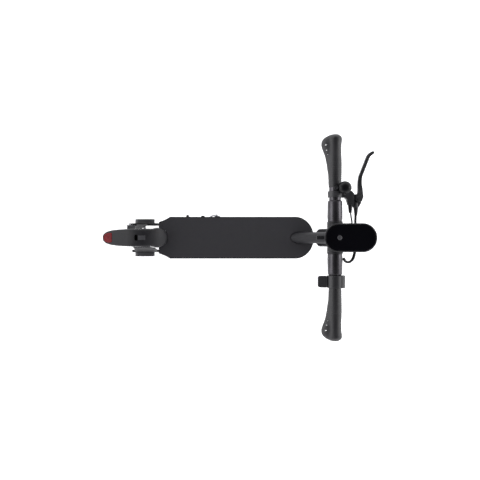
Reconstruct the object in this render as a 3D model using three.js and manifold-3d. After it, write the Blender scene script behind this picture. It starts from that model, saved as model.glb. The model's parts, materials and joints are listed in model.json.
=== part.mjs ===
// Electric kick scooter: a folding two-wheeler with a front hub motor and a rear disc brake.
// Units are millimetres. +X points forward, +Y to the rider's left, +Z up.
// The origin is on the floor, under the middle of the overall length.
import * as THREE from "three";
import { mergeVertices } from "three/addons/utils/BufferGeometryUtils.js";
import Module from "manifold-3d";

const wasm = await Module();
wasm.setup();

// ---------------------------------------------------------------- driving dimensions
const GAP = 0.3; // air left between pieces that touch on the real object
const WHEEL_RADIUS = 108;
const WHEEL_WIDTH = 50;
const TREAD_FLAT = 24; // width of the flat band that meets the floor
const WHEEL_SIDES = 36;
const RIM_RADIUS = 78;
const REAR_AXLE_X = -397;
const FRONT_AXLE_X = 442;
const AXLE_Z = WHEEL_RADIUS;
const AXLE_RADIUS = 6;

const DECK_HALF_WIDTH = 85;
const DECK_TOP = 155;
const DECK_BOTTOM = 95;
const DECK_WALL = 3;
const DECK_REAR_X = -331;
const DECK_SHOULDER_X = -286;
const DECK_REAR_HALF_WIDTH = 64;
const DECK_FRONT_CENTRE_X = 226;
const DECK_FRONT_LENGTH = 75;
const NOTCH_CENTRE_X = -336; // the wheel notch is round in plan
const NOTCH_RADIUS = 36;
const TYRE_ROOM_RADIUS = 112; // room for the tyre, round the rear axle
const MAT_THICKNESS = 2.7;
const COVER_THICKNESS = 3;
const CHARGE_PORT_X = -153;

const STEER_FOOT_X = 422; // where the steering axis passes the height of the axle
const STEER_RAKE = THREE.MathUtils.degToRad(12);
const STEM_RADIUS = 21;
const HEAD_TUBE_RADIUS = 23.5;
const STEERER_RADIUS = 14.5;
const NECK_RADIUS = 22.4;
const NECK_FOOT_X = 240;
const NECK_MEETS_AXIS_AT = 195;
const CROWN_BOTTOM = 126;
const CROWN_TOP = 140;
const FORK_INNER_Y = 40;
const FORK_OUTER_Y = 50;
const HEAD_TUBE_BOTTOM = 150;
const HEAD_TUBE_TOP = 228;
const FOLD_SPLIT = 262.5;
const FOLD_PIN_X = -36; // behind the steering axis, in the raked frame
const FOLD_PIN_Z = 262;
const FOLD_PIN_RADIUS = 4.5;
const KNUCKLE_RADIUS = 11;
const KNUCKLE_HALF_WIDTH = 13.5;
const FOLD_HALF_WIDTH = 24;
const STEM_BOTTOM = 285;
const STEM_TOP = 985;
const BAR_HEIGHT = 1004; // along the steering axis

const BAR_CORE_RADIUS = 11;
const BAR_NECK_RADIUS = 13.2;
const BAR_BARREL_RADIUS = 16.8;
const HEAD_HALF_WIDTH = 36;
const HEAD_RADIUS = 17.4;
const GRIP_START = 113;
const GRIP_END = 231;
const BAR_END = 220;
const DISPLAY_BACK = -21.5;
const DISPLAY_FRONT = 90.5;
const DISPLAY_HALF_WIDTH = 31.5;
const DISPLAY_BOTTOM = 1023;
const DISPLAY_TOP = 1036.5;
const BUTTON_X = 11.4;
const BUTTON_RADIUS = 5;

const GUARD_WALL = 3;
const REAR_GUARD_RADIUS = 132;
const FRONT_GUARD_RADIUS = 126;
const TAIL_X = -550;
const SLOT_X = -407;

const DROPOUT_INNER_Y = 50;
const DROPOUT_OUTER_Y = 60;
const DISC_Y = 35;
const DISC_RADIUS = 55;

const STAND_PIVOT = new THREE.Vector3(-98, 93, 104);
const STAND_LENGTH = 122;

// ---------------------------------------------------------------- shared helpers
const V2 = (x, y) => new THREE.Vector2(x, y);
const V3 = (x, y, z) => new THREE.Vector3(x, y, z);

// A closed geometry with shared corners, holding positions only.
function closed(geometry) {
  const bare = geometry.clone();
  bare.deleteAttribute("normal");
  bare.deleteAttribute("uv");
  return mergeVertices(bare, 1e-4);
}

function toSolid(geometry) {
  const merged = closed(geometry);
  return new wasm.Manifold(
    new wasm.Mesh({
      numProp: 3,
      vertProperties: new Float32Array(merged.attributes.position.array),
      triVerts: new Uint32Array(merged.index.array),
    }),
  );
}

function toGeometry(solid) {
  const mesh = solid.getMesh();
  const positions = new Float32Array(mesh.numVert * 3);
  for (let i = 0; i < mesh.numVert; i++) {
    const from = i * mesh.numProp;
    positions.set(mesh.vertProperties.subarray(from, from + 3), i * 3);
  }
  const geometry = new THREE.BufferGeometry();
  geometry.setAttribute("position", new THREE.BufferAttribute(positions, 3));
  geometry.setIndex(new THREE.BufferAttribute(mesh.triVerts, 1));
  geometry.computeVertexNormals();
  return geometry;
}

const join = (...list) => toGeometry(list.map(toSolid).reduce((a, b) => a.add(b)));
const cut = (body, ...tools) =>
  toGeometry(tools.map(toSolid).reduce((a, b) => a.subtract(b), toSolid(body)));
const common = (a, b) => toGeometry(toSolid(a).intersect(toSolid(b)));

// A cylinder between two points on one axis: "x", "y" or "z".
function rod(axis, radius, from, to, a = 0, b = 0, sides = 20) {
  const g = new THREE.CylinderGeometry(radius, radius, to - from, sides);
  const middle = (from + to) / 2;
  if (axis === "x") return g.rotateZ(-Math.PI / 2).translate(middle, a, b);
  if (axis === "y") return g.translate(a, middle, b);
  return g.rotateX(Math.PI / 2).translate(a, b, middle);
}

function cone(axis, r0, r1, from, to, a = 0, b = 0, sides = 16) {
  const g = new THREE.CylinderGeometry(r1, r0, to - from, sides);
  const middle = (from + to) / 2;
  if (axis === "x") return g.rotateZ(-Math.PI / 2).translate(middle, a, b);
  if (axis === "y") return g.translate(a, middle, b);
  return g.rotateX(Math.PI / 2).translate(a, b, middle);
}

function ring(axis, inner, outer, from, to, a = 0, b = 0, sides = 24) {
  const hole = rod(axis, inner, from - 1, to + 1, a, b, sides);
  return cut(rod(axis, outer, from, to, a, b, sides), hole);
}

function box(x0, x1, y0, y1, z0, z1) {
  const g = new THREE.BoxGeometry(x1 - x0, y1 - y0, z1 - z0);
  return g.translate((x0 + x1) / 2, (y0 + y1) / 2, (z0 + z1) / 2);
}

// A plan outline raised from z0 to z1.
function raise(shape, z0, z1, curveSegments = 6) {
  const options = { depth: z1 - z0, bevelEnabled: false, curveSegments };
  return new THREE.ExtrudeGeometry(shape, options).translate(0, 0, z0);
}

// A side outline in X and Z, given width from y0 to y1.
function widen(shape, y0, y1, curveSegments = 6) {
  return raise(shape, -y1, -y0, curveSegments).rotateX(Math.PI / 2);
}

// A front outline in Y and Z, given length from x0 to x1.
function lengthen(shape, x0, x1, curveSegments = 6) {
  return raise(shape, x0, x1, curveSegments).rotateX(Math.PI / 2).rotateZ(Math.PI / 2);
}

const outline = (...corners) => new THREE.Shape(corners.map(([x, y]) => V2(x, y)));

// A bar with round ends, from a to b, of the given half width.
function stadium(a, b, half, segments = 6) {
  const along = Math.atan2(b[1] - a[1], b[0] - a[0]);
  const shape = new THREE.Shape();
  shape.absarc(b[0], b[1], half, along - Math.PI / 2, along + Math.PI / 2, false);
  shape.absarc(a[0], a[1], half, along + Math.PI / 2, along + (3 * Math.PI) / 2, false);
  return new THREE.Shape(shape.getPoints(segments));
}

// A profile of [radius, y] corners turned round the Y axis; the profile closes on itself.
function turned(profile, sides = WHEEL_SIDES) {
  const points = profile.map(([r, y]) => V2(r, y));
  if (THREE.ShapeUtils.area(points) < 0) points.reverse();
  points.push(points[0].clone());
  return new THREE.LatheGeometry(points, sides, Math.PI / sides);
}

// A solid of revolution round Y whose profile starts and ends on the axis.
function spun(profile, sides = 32) {
  return new THREE.LatheGeometry(
    profile.map(([r, y]) => V2(r, y)),
    sides,
  );
}

// A round cord along a smooth curve through the given points.
function cord(points, radius, steps, sides = 8) {
  const circle = new THREE.Shape();
  circle.absarc(0, 0, radius, 0, 2 * Math.PI, false);
  const path = new THREE.CatmullRomCurve3(points, false, "centripetal");
  const section = new THREE.Shape(circle.getPoints(sides).slice(0, sides));
  return new THREE.ExtrudeGeometry(section, { steps, extrudePath: path, bevelEnabled: false });
}

// A closed skin over rings of equal length; each ring is a closed loop of points.
function loft(rings) {
  const count = rings[0].length;
  const positions = rings.flat().flatMap((p) => [p.x, p.y, p.z]);
  const index = [];
  for (let i = 0; i + 1 < rings.length; i++) {
    for (let j = 0; j < count; j++) {
      const k = (j + 1) % count;
      const a = i * count;
      const b = a + count;
      index.push(a + j, a + k, b + k, a + j, b + k, b + j);
    }
  }
  for (const [start, flip] of [[0, true], [(rings.length - 1) * count, false]]) {
    for (let j = 1; j + 1 < count; j++) {
      if (flip) index.push(start, start + j + 1, start + j);
      else index.push(start, start + j, start + j + 1);
    }
  }
  const geometry = new THREE.BufferGeometry();
  geometry.setAttribute("position", new THREE.Float32BufferAttribute(positions, 3));
  geometry.setIndex(index);
  return geometry;
}

// A shell between an outer and an inner row of points at each station, closed all round.
function shell(outerRows, innerRows) {
  const n = outerRows[0].length;
  const positions = [...outerRows, ...innerRows].flat().flatMap((p) => [p.x, p.y, p.z]);
  const inner = outerRows.length * n;
  const index = [];
  const quad = (a, b, c, d) => index.push(a, c, b, a, d, c);
  const last = outerRows.length - 1;
  for (let i = 0; i < last; i++) {
    for (let j = 0; j + 1 < n; j++) {
      const o = i * n + j;
      quad(o, o + 1, o + n + 1, o + n);
      quad(inner + o, inner + o + n, inner + o + n + 1, inner + o + 1);
    }
    const left = i * n;
    const right = i * n + n - 1;
    quad(left, left + n, inner + left + n, inner + left);
    quad(right, inner + right, inner + right + n, right + n);
  }
  for (let j = 0; j + 1 < n; j++) {
    quad(j, inner + j, inner + j + 1, j + 1);
    const e = last * n + j;
    quad(e, e + 1, inner + e + 1, inner + e);
  }
  const geometry = new THREE.BufferGeometry();
  geometry.setAttribute("position", new THREE.Float32BufferAttribute(positions, 3));
  geometry.setIndex(index);
  return geometry;
}

// Value at x on straight lines through a list of [x, value] pairs in rising x.
function along(pairs, x) {
  if (x <= pairs[0][0]) return pairs[0][1];
  for (let i = 1; i < pairs.length; i++) {
    const [x0, v0] = pairs[i - 1];
    const [x1, v1] = pairs[i];
    if (x <= x1) return v0 + ((v1 - v0) * (x - x0)) / (x1 - x0);
  }
  return pairs[pairs.length - 1][1];
}

// ---------------------------------------------------------------- materials
const finish = (color, roughness, metalness = 0) => ({ color, roughness, metalness });
const BLACK_PAINT = finish(0x151517, 0.45, 0.3);
const SATIN_ALLOY = finish(0x1d1c1f, 0.32, 0.7);
const BLACK_PLASTIC = finish(0x121214, 0.55);
const RUBBER = finish(0x101012, 0.85);
const MAT_RUBBER = finish(0x17171a, 0.9);
const STEEL = finish(0xa8aaad, 0.35, 1);
const GLASS = finish(0x020203, 0.08);
const RED_LENS = finish(0x8c0d10, 0.15);
const CLEAR_LENS = finish(0xdfe6ea, 0.1);
const CELL_WRAP = finish(0x2b3f55, 0.6);

const scooter = new THREE.Group();
const raked = new THREE.Group(); // its Z runs up the steering axis
raked.position.set(STEER_FOOT_X, 0, AXLE_Z);
raked.rotation.y = -STEER_RAKE;
scooter.add(raked);

function add(parent, name, geometry, look) {
  const mesh = new THREE.Mesh(geometry, new THREE.MeshStandardMaterial(look));
  mesh.name = name;
  parent.add(mesh);
  return mesh;
}

// Wheels sit in a group at their axle, so their shapes are turned round their own Y axis.
function axleGroup(x) {
  const group = new THREE.Group();
  group.position.set(x, 0, AXLE_Z);
  scooter.add(group);
  return group;
}

const rearAxle = axleGroup(REAR_AXLE_X);
const frontAxle = axleGroup(FRONT_AXLE_X);

// ---------------------------------------------------------------- deck
function deckOutline(inset, notchRadius) {
  const half = DECK_HALF_WIDTH - inset;
  const front = DECK_FRONT_LENGTH - inset;
  const rear = DECK_REAR_X + inset;
  const rearHalf = DECK_REAR_HALF_WIDTH - inset;
  const lip = Math.acos((rear - NOTCH_CENTRE_X) / notchRadius);
  const shape = new THREE.Shape();
  shape.absellipse(DECK_FRONT_CENTRE_X, 0, front, half, -Math.PI / 2, Math.PI / 2, false, 0);
  shape.lineTo(DECK_SHOULDER_X, half);
  shape.quadraticCurveTo(DECK_SHOULDER_X - 14, half - 11, rear, rearHalf);
  shape.absarc(NOTCH_CENTRE_X, 0, notchRadius, lip, -lip, true);
  shape.lineTo(rear, -rearHalf);
  shape.quadraticCurveTo(DECK_SHOULDER_X - 14, 11 - half, DECK_SHOULDER_X, -half);
  return shape;
}

function deck() {
  const matBottom = DECK_TOP - MAT_THICKNESS;
  const frameTop = matBottom - GAP;
  const coverTop = DECK_BOTTOM + COVER_THICKNESS;
  const frameBottom = coverTop + GAP;
  const roomSide = [
    [0, 28.5],
    [TYRE_ROOM_RADIUS - 20, 28.5],
    [TYRE_ROOM_RADIUS - 8, 25],
    [TYRE_ROOM_RADIUS - 2, 18],
    [TYRE_ROOM_RADIUS, 13],
  ];
  const otherSide = roomSide.map(([r, y]) => [r, -y]);
  const tyreRoom = spun([...otherSide, ...roomSide.reverse()], 72).translate(REAR_AXLE_X, 0, AXLE_Z);
  const innerNotch = REAR_AXLE_X + TYRE_ROOM_RADIUS + DECK_WALL - NOTCH_CENTRE_X;
  const body = raise(deckOutline(0, NOTCH_RADIUS), frameBottom, frameTop, 8);
  const inside = deckOutline(DECK_WALL, innerNotch);
  const hollow = raise(inside, frameBottom - 1, frameTop - DECK_WALL, 8);
  const port = rod("y", 5, DECK_HALF_WIDTH - 8, DECK_HALF_WIDTH + 2, CHARGE_PORT_X, 128, 16);
  add(scooter, "deck_frame", cut(body, hollow, port, tyreRoom), BLACK_PAINT);
  const cover = raise(deckOutline(0.6, innerNotch - DECK_WALL), DECK_BOTTOM, coverTop, 8);
  add(scooter, "deck_bottom_cover", cover, BLACK_PLASTIC);
  // The mat is cut out to an oval round the foot of the leaning neck tube.
  const neckHole = rod("z", 1, matBottom - 1, DECK_TOP + 1, 0, 0, 24);
  neckHole.scale(35.4, 24.2, 1).translate(NECK_FOOT_X, 0, 0);
  const mat = raise(deckOutline(3, NOTCH_RADIUS + 3), matBottom, DECK_TOP, 8);
  add(scooter, "deck_mat", cut(mat, neckHole, tyreRoom), MAT_RUBBER);
  add(scooter, "battery_pack", box(-205, 150, -62, 62, 104, 143), CELL_WRAP);
  add(scooter, "motor_controller", box(158, 236, -38, 38, 106, 138), SATIN_ALLOY);
  // The charging port in the left wall is under a rubber cap hinged at its top edge.
  const cap = stadium([CHARGE_PORT_X, 124], [CHARGE_PORT_X, 132], 7);
  add(scooter, "charge_cap", widen(cap, DECK_HALF_WIDTH + GAP, DECK_HALF_WIDTH + 5.5), RUBBER);
}

// ---------------------------------------------------------------- neck and head tube
// World X and Z of the point at height s on the steering axis.
function axisPoint(s) {
  return [STEER_FOOT_X - s * Math.sin(STEER_RAKE), AXLE_Z + s * Math.cos(STEER_RAKE)];
}

function neck() {
  const [topX, topZ] = axisPoint(NECK_MEETS_AXIS_AT);
  const run = topX - NECK_FOOT_X;
  const rise = topZ - DECK_TOP;
  const length = Math.hypot(run, rise);
  const tilt = Math.atan2(run, rise);
  const outer = rod("z", NECK_RADIUS, -60, length + 30, 0, 0, 28);
  const bore = rod("z", NECK_RADIUS - 3.5, -70, length + 40, 0, 0, 20);
  const tube = cut(outer, bore).rotateY(tilt).translate(NECK_FOOT_X, 0, DECK_TOP);
  const below = box(0, 500, -60, 60, 0, DECK_TOP - MAT_THICKNESS);
  const head = rod("z", HEAD_TUBE_RADIUS + 0.6, 60, 320, 0, 0, 28);
  head.rotateY(-STEER_RAKE).translate(STEER_FOOT_X, 0, AXLE_Z);
  const beyond = box(0, 80, -60, 60, 60, 320);
  beyond.rotateY(-STEER_RAKE).translate(STEER_FOOT_X, 0, AXLE_Z);
  add(scooter, "neck_tube", cut(tube, below, head, beyond), BLACK_PAINT);
}

function headTube() {
  const bearing = HEAD_TUBE_RADIUS - 3.2;
  const tube = ring("z", bearing, HEAD_TUBE_RADIUS, HEAD_TUBE_BOTTOM, HEAD_TUBE_TOP);
  const seats = [
    ["lower", HEAD_TUBE_BOTTOM - 8, HEAD_TUBE_BOTTOM, HEAD_TUBE_BOTTOM + 1],
    ["upper", HEAD_TUBE_TOP, HEAD_TUBE_TOP + 7, HEAD_TUBE_TOP - 9],
  ];
  const cupRadius = HEAD_TUBE_RADIUS + 1;
  const cups = seats.map(([, z0, z1]) => ring("z", STEERER_RADIUS + 0.5, cupRadius, z0, z1));
  add(raked, "head_tube", join(tube, ...cups), BLACK_PAINT);
  for (const [which, , , race] of seats) {
    const races = ring("z", STEERER_RADIUS + 0.35, bearing - GAP, race, race + 8, 0, 0, 18);
    add(raked, `headset_bearing_${which}`, races, STEEL);
  }
}

// ---------------------------------------------------------------- wheels
function tyre(group, name) {
  const outer = WHEEL_RADIUS / Math.cos(Math.PI / WHEEL_SIDES);
  const half = WHEEL_WIDTH / 2;
  const flat = TREAD_FLAT / 2;
  const side = [
    [outer, flat],
    [outer - 5, flat + 9.5],
    [outer - 17, half],
    [RIM_RADIUS, half - 8],
  ];
  const mirrored = side.map(([r, y]) => [r, -y]);
  add(group, name, turned([...mirrored, ...side.reverse()]), RUBBER);
}

function rearWheel() {
  tyre(rearAxle, "rear_tyre");
  const rimOuter = RIM_RADIUS - GAP;
  const hoop = turned([
    [rimOuter - 11, -15],
    [rimOuter - 3, -18],
    [rimOuter, -15],
    [rimOuter, 15],
    [rimOuter - 3, 18],
    [rimOuter - 11, 15],
  ]);
  const hub = rod("y", 19, -22, 22, 0, 0, 20);
  const discSeat = rod("y", 24, 20, DISC_Y - 1.4, 0, 0, 20);
  const spokes = [0, 1, 2, 3, 4].map((i) => {
    const spoke = widen(outline([14, -9], [70, -6.5], [70, 6.5], [14, 9]), -9, 9);
    return spoke.rotateY((i * 2 * Math.PI) / 5);
  });
  const bore = rod("y", 13, -40, 50, 0, 0, 20);
  add(rearAxle, "rear_rim", cut(join(hoop, hub, discSeat, ...spokes), bore), SATIN_ALLOY);
  for (const [which, y] of [["left", 14], ["right", -22]]) {
    const races = ring("y", AXLE_RADIUS + GAP, 12.7, y, y + 8, 0, 0, 18);
    add(rearAxle, `rear_bearing_${which}`, races, STEEL);
  }
  const vents = [];
  const ventCount = 6;
  const ventRing = 42;
  for (let i = 0; i < ventCount; i++) {
    const angle = (i * 2 * Math.PI) / ventCount;
    const at = [ventRing * Math.cos(angle), ventRing * Math.sin(angle)];
    vents.push(rod("y", 5.5, DISC_Y - 3, DISC_Y + 3, ...at, 8));
  }
  const plate = ring("y", 13, DISC_RADIUS, DISC_Y - 1, DISC_Y + 1, 0, 0, 28);
  add(rearAxle, "brake_disc", cut(plate, ...vents), STEEL);
}

const hexNut = (y0, y1) => rod("y", 10, y0, y1, 0, 0, 6);

function rearAxleHardware() {
  const nutStart = DROPOUT_OUTER_Y + GAP;
  const nuts = [hexNut(nutStart, 67), hexNut(-67, -nutStart)];
  add(rearAxle, "rear_axle", join(rod("y", AXLE_RADIUS, -70, 70), ...nuts), STEEL);
  for (const [which, side] of [["left", 1], ["right", -1]]) {
    const span = (a, b) => (side > 0 ? [a, b] : [-b, -a]);
    const plate = outline(
      [66 - GAP, -14],
      [66 - GAP, 16],
      [6, 16],
      [-20, 14],
      [-50, 10],
      [-50, 3],
      [-24, -4],
      [-14, -16],
      [6, -18],
      [40, -15],
    );
    const [y0, y1] = span(DROPOUT_INNER_Y, DROPOUT_OUTER_Y);
    const slot = rod("y", AXLE_RADIUS + GAP, y0 - 1, y1 + 1);
    add(rearAxle, `dropout_${which}`, cut(widen(plate, y0, y1), slot), BLACK_PAINT);
    const [c0, c1] = span(DROPOUT_OUTER_Y + GAP, 77);
    const [n0, n1] = span(DROPOUT_OUTER_Y - 1, 71);
    const pocket = rod("y", 13, n0, n1, 0, 0, 24);
    const cover = widen(stadium([-21, 0], [24, 0], 17.5), c0, c1);
    add(rearAxle, `axle_cover_${which}`, cut(cover, pocket), BLACK_PLASTIC);
  }
}

// The front hub holds the motor: a hollow shell turns round a stator fixed to the axle.
function frontWheel() {
  tyre(frontAxle, "front_tyre");
  const outer = RIM_RADIUS - GAP;
  const bore = AXLE_RADIUS + 1;
  const body = turned([
    [bore, -26],
    [22, -26],
    [60, -21],
    [outer, -16],
    [outer, 16],
    [60, 16],
    [60, -14],
    [bore, -14],
  ], 28);
  add(frontAxle, "hub_motor_shell", body, SATIN_ALLOY);
  const lid = turned([
    [bore, 16],
    [60 - GAP, 16],
    [60 - GAP, 19],
    [22, 26],
    [bore, 26],
  ], 28);
  add(frontAxle, "hub_motor_lid", lid, SATIN_ALLOY);
  const nutStart = FORK_OUTER_Y + GAP;
  const nuts = [hexNut(nutStart, 56), hexNut(-56, -nutStart)];
  const stator = rod("y", 55, -10, 11, 0, 0, 24);
  add(frontAxle, "stator_and_axle", join(rod("y", AXLE_RADIUS, -58, 58), stator, ...nuts), STEEL);
}

// ---------------------------------------------------------------- fork and folding joint
function fork() {
  const forward = (FRONT_AXLE_X - STEER_FOOT_X) * Math.cos(STEER_RAKE);
  const down = -(FRONT_AXLE_X - STEER_FOOT_X) * Math.sin(STEER_RAKE);
  const leg = (y0, y1) => {
    const end = widen(stadium([forward, down], [forward + 1, down + 20], 13), y0, y1);
    const crownEdge = CROWN_TOP - 1;
    const side = outline(
      [forward - 10, down],
      [forward + 10, down],
      [13, crownEdge],
      [-13, crownEdge],
    );
    return join(end, widen(side, y0, y1));
  };
  const crown = box(-14, 14, -FORK_OUTER_Y, FORK_OUTER_Y, CROWN_BOTTOM, CROWN_TOP);
  const steerer = rod("z", STEERER_RADIUS, CROWN_TOP - 2, FOLD_SPLIT - 26, 0, 0, 24);
  const cable = rod("z", STEERER_RADIUS - 3.5, CROWN_BOTTOM - 1, FOLD_SPLIT, 0, 0, 16);
  const axleHole = rod("y", AXLE_RADIUS + GAP, -70, 70, forward, down);
  const legs = [leg(-FORK_OUTER_Y, -FORK_INNER_Y), leg(FORK_INNER_Y, FORK_OUTER_Y)];
  add(raked, "fork", cut(join(crown, steerer, ...legs), cable, axleHole), BLACK_PAINT);
  const inside = FORK_OUTER_Y + GAP;
  const outside = FORK_OUTER_Y + 5.5;
  for (const [which, y0, y1] of [["left", inside, outside], ["right", -outside, -inside]]) {
    const cover = widen(stadium([forward, down], [forward, down + 34], 17), y0, y1);
    const opening = rod("y", 11.5, y0 - 1, y1 + 1, forward, down);
    add(raked, `fork_cover_${which}`, cut(cover, opening), BLACK_PLASTIC);
  }
}

const LATCH_AT = [33, 290]; // the latch's pin, in the raked frame

function foldingJoint() {
  const pivot = [FOLD_PIN_X, FOLD_PIN_Z];
  const half = FOLD_HALF_WIDTH;
  const bottom = FOLD_SPLIT - 25;
  const below = FOLD_SPLIT - GAP;
  const above = FOLD_SPLIT + 0.4;
  const baseSide = outline(
    [26, bottom],
    [26, below],
    [FOLD_PIN_X, below],
    [FOLD_PIN_X - 9, bottom + 12],
    [-22, bottom],
  );
  const ears = join(
    widen(baseSide, -half, half),
    rod("y", KNUCKLE_RADIUS, -half, half, ...pivot),
  );
  const roomHalf = KNUCKLE_HALF_WIDTH + GAP;
  const knuckleRoom = rod("y", KNUCKLE_RADIUS + 0.8, -roomHalf, roomHalf, ...pivot);
  const pinRoom = rod("y", FOLD_PIN_RADIUS + GAP, -half - 5, half + 5, ...pivot);
  const cable = rod("z", 9, bottom - 1, FOLD_SPLIT + 1);
  const base = cut(ears, knuckleRoom, pinRoom, cable);
  add(raked, "fold_base", base, BLACK_PAINT);

  const footSide = outline([26, above], [26, 284], [22, 300], [-24, 300], [-26, 284], [-30, above]);
  const tongueTop = FOLD_PIN_Z + KNUCKLE_RADIUS - 0.5;
  const tongueSide = outline(
    [-20, above],
    [-20, 282],
    [FOLD_PIN_X, tongueTop],
    [FOLD_PIN_X, above],
  );
  const knuckleHalf = KNUCKLE_HALF_WIDTH - GAP;
  const earRoom = (y0, y1) => rod("y", KNUCKLE_RADIUS + 0.8, y0, y1, ...pivot);
  const block = cut(
    widen(footSide, -half, half),
    earRoom(knuckleHalf, half + 1),
    earRoom(-half - 1, -knuckleHalf),
  );
  const knuckle = join(
    rod("y", KNUCKLE_RADIUS, -knuckleHalf, knuckleHalf, ...pivot),
    widen(tongueSide, -knuckleHalf, knuckleHalf),
  );
  const latchEars = [box(20, 37, 10.5, 15, 284, 296), box(20, 37, -15, -10.5, 284, 296)];
  const socket = rod("z", STEM_RADIUS + GAP, STEM_BOTTOM, 310, 0, 0, 32);
  const foot = cut(
    join(block, knuckle, ...latchEars),
    socket,
    rod("z", 9, FOLD_SPLIT - 20, STEM_BOTTOM + 1),
    pinRoom,
  );
  const latchPin = rod("y", 2.5, -16, 16, ...LATCH_AT, 12);
  add(raked, "stem_foot", join(foot, latchPin), BLACK_PAINT);
  const pinHead = rod("y", 7, half + GAP, half + 3.5, ...pivot);
  const pin = rod("y", FOLD_PIN_RADIUS, -half - 1, half + 3, ...pivot);
  add(raked, "fold_pin", join(pin, pinHead), STEEL);

  // The latch lever hangs in front of the joint and swings out and up to free it.
  const leverSide = outline(
    [28, 287],
    [38, 287],
    [36, 262],
    [38, 238],
    [41, 231],
    [36.5, 230],
    [32, 238],
    [29.5, 258],
    [27.4, 262],
  );
  const lever = join(widen(leverSide, -9.8, 9.8), rod("y", 5.5, -9.8, 9.8, ...LATCH_AT, 16));
  add(raked, "fold_latch", cut(lever, rod("y", 2.8, -20, 20, ...LATCH_AT, 12)), SATIN_ALLOY);
}

// ---------------------------------------------------------------- stem, head and handlebar
const SOCKET_RADIUS = 24; // of the head's sleeve over the stem tube

function stem() {
  const tube = ring("z", STEM_RADIUS - 3, STEM_RADIUS, STEM_BOTTOM + GAP, STEM_TOP, 0, 0, 32);
  add(raked, "stem_tube", tube, BLACK_PAINT);
  const clamp = rod("y", HEAD_RADIUS, -HEAD_HALF_WIDTH, HEAD_HALF_WIDTH, 0, BAR_HEIGHT, 28);
  const socket = rod("z", SOCKET_RADIUS, 948, BAR_HEIGHT, 0, 0, 28);
  const seat = box(-13, 28, -20, 20, BAR_HEIGHT + 6, DISPLAY_BOTTOM - GAP);
  const stemRoom = rod("z", STEM_RADIUS + GAP, 940, STEM_TOP + GAP, 0, 0, 32);
  const barRoom = rod("y", BAR_CORE_RADIUS + GAP, -50, 50, 0, BAR_HEIGHT, 24);
  add(raked, "stem_head", cut(join(clamp, socket, seat), stemRoom, barRoom), BLACK_PAINT);
  // The stowing hook reaches back from the head and drops into the mudguard slot when folded.
  const start = -HEAD_RADIUS - GAP;
  const hook = outline(
    [start, -9],
    [start, 5],
    [start - 10, 3],
    [start - 20, 0.5],
    [start - 22, -3],
    [start - 20, -6],
    [start - 8, -7],
  );
  const finger = widen(hook, -4, 4).translate(-2, 0, BAR_HEIGHT + 8);
  const pad = box(start - 4, start + 4, -8, 8, BAR_HEIGHT - 8, BAR_HEIGHT + 14);
  const clear = rod("y", HEAD_RADIUS + GAP, -20, 20, 0, BAR_HEIGHT, 28);
  const clearStem = rod("z", SOCKET_RADIUS + GAP, 940, BAR_HEIGHT + 1, 0, 0, 28);
  add(raked, "stowing_hook", cut(join(finger, pad), clear, clearStem), STEEL);
}

function handlebar() {
  const half = [
    [BAR_CORE_RADIUS, HEAD_HALF_WIDTH + GAP],
    [BAR_BARREL_RADIUS - 0.8, HEAD_HALF_WIDTH + GAP],
    [BAR_BARREL_RADIUS, HEAD_HALF_WIDTH + 12],
    [BAR_BARREL_RADIUS - 0.6, 80],
    [BAR_NECK_RADIUS, 84.6],
    [BAR_NECK_RADIUS, GRIP_START - GAP],
    [BAR_CORE_RADIUS, GRIP_START - GAP],
    [BAR_CORE_RADIUS, BAR_END],
    [0, BAR_END],
  ];
  const other = half.map(([r, y]) => [r, -y]).reverse();
  add(raked, "handlebar", spun([...other, ...half], 20).translate(0, 0, BAR_HEIGHT), SATIN_ALLOY);
}

// Rear reach of the grip's palm rest at distances from the middle of the bar.
const PALM_REACH = [
  [GRIP_START, 0],
  [140, 0.2],
  [166, 3.6],
  [182, 7.5],
  [196, 13],
  [207, 16.5],
  [216, 15],
  [224, 9],
  [GRIP_END, 2],
];
const GRIP_RADIUS = [
  [GRIP_START, 13.9],
  [120, 14.4],
  [150, 15.2],
  [168, 15.2],
  [190, 14],
  [210, 14.4],
  [221, 16.2],
  [227, 15],
  [GRIP_END, 9],
];
const PALM_HOLES = [
  [209, 3],
  [197, 2.6],
  [187, 2.1],
];

function grip(side) {
  const rings = [];
  const count = 18;
  for (const y of [GRIP_START, 120, 150, 168, 182, 196, 207, 216, 224, 229, GRIP_END]) {
    const radius = along(GRIP_RADIUS, y);
    const reach = along(PALM_REACH, y);
    const points = [];
    for (let i = 0; i < count; i++) {
      const angle = (i * 2 * Math.PI) / count;
      const rearward = Math.max(0, -Math.cos(angle));
      const r = radius + reach * rearward ** 8;
      points.push(V3(r * Math.cos(angle), side * y, r * Math.sin(angle)));
    }
    rings.push(side > 0 ? points.reverse() : points);
  }
  const bore = rod("y", BAR_CORE_RADIUS + GAP, GRIP_START - 10, BAR_END + 0.4, 0, 0, 24);
  if (side < 0) bore.rotateX(Math.PI);
  const holes = PALM_HOLES.map(([y, r]) => {
    const behind = -11 - 0.55 * along(PALM_REACH, y);
    return rod("z", r, -30, 30, behind, side * y, 8);
  });
  return cut(loft(rings), bore, ...holes).translate(0, 0, BAR_HEIGHT);
}

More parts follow.
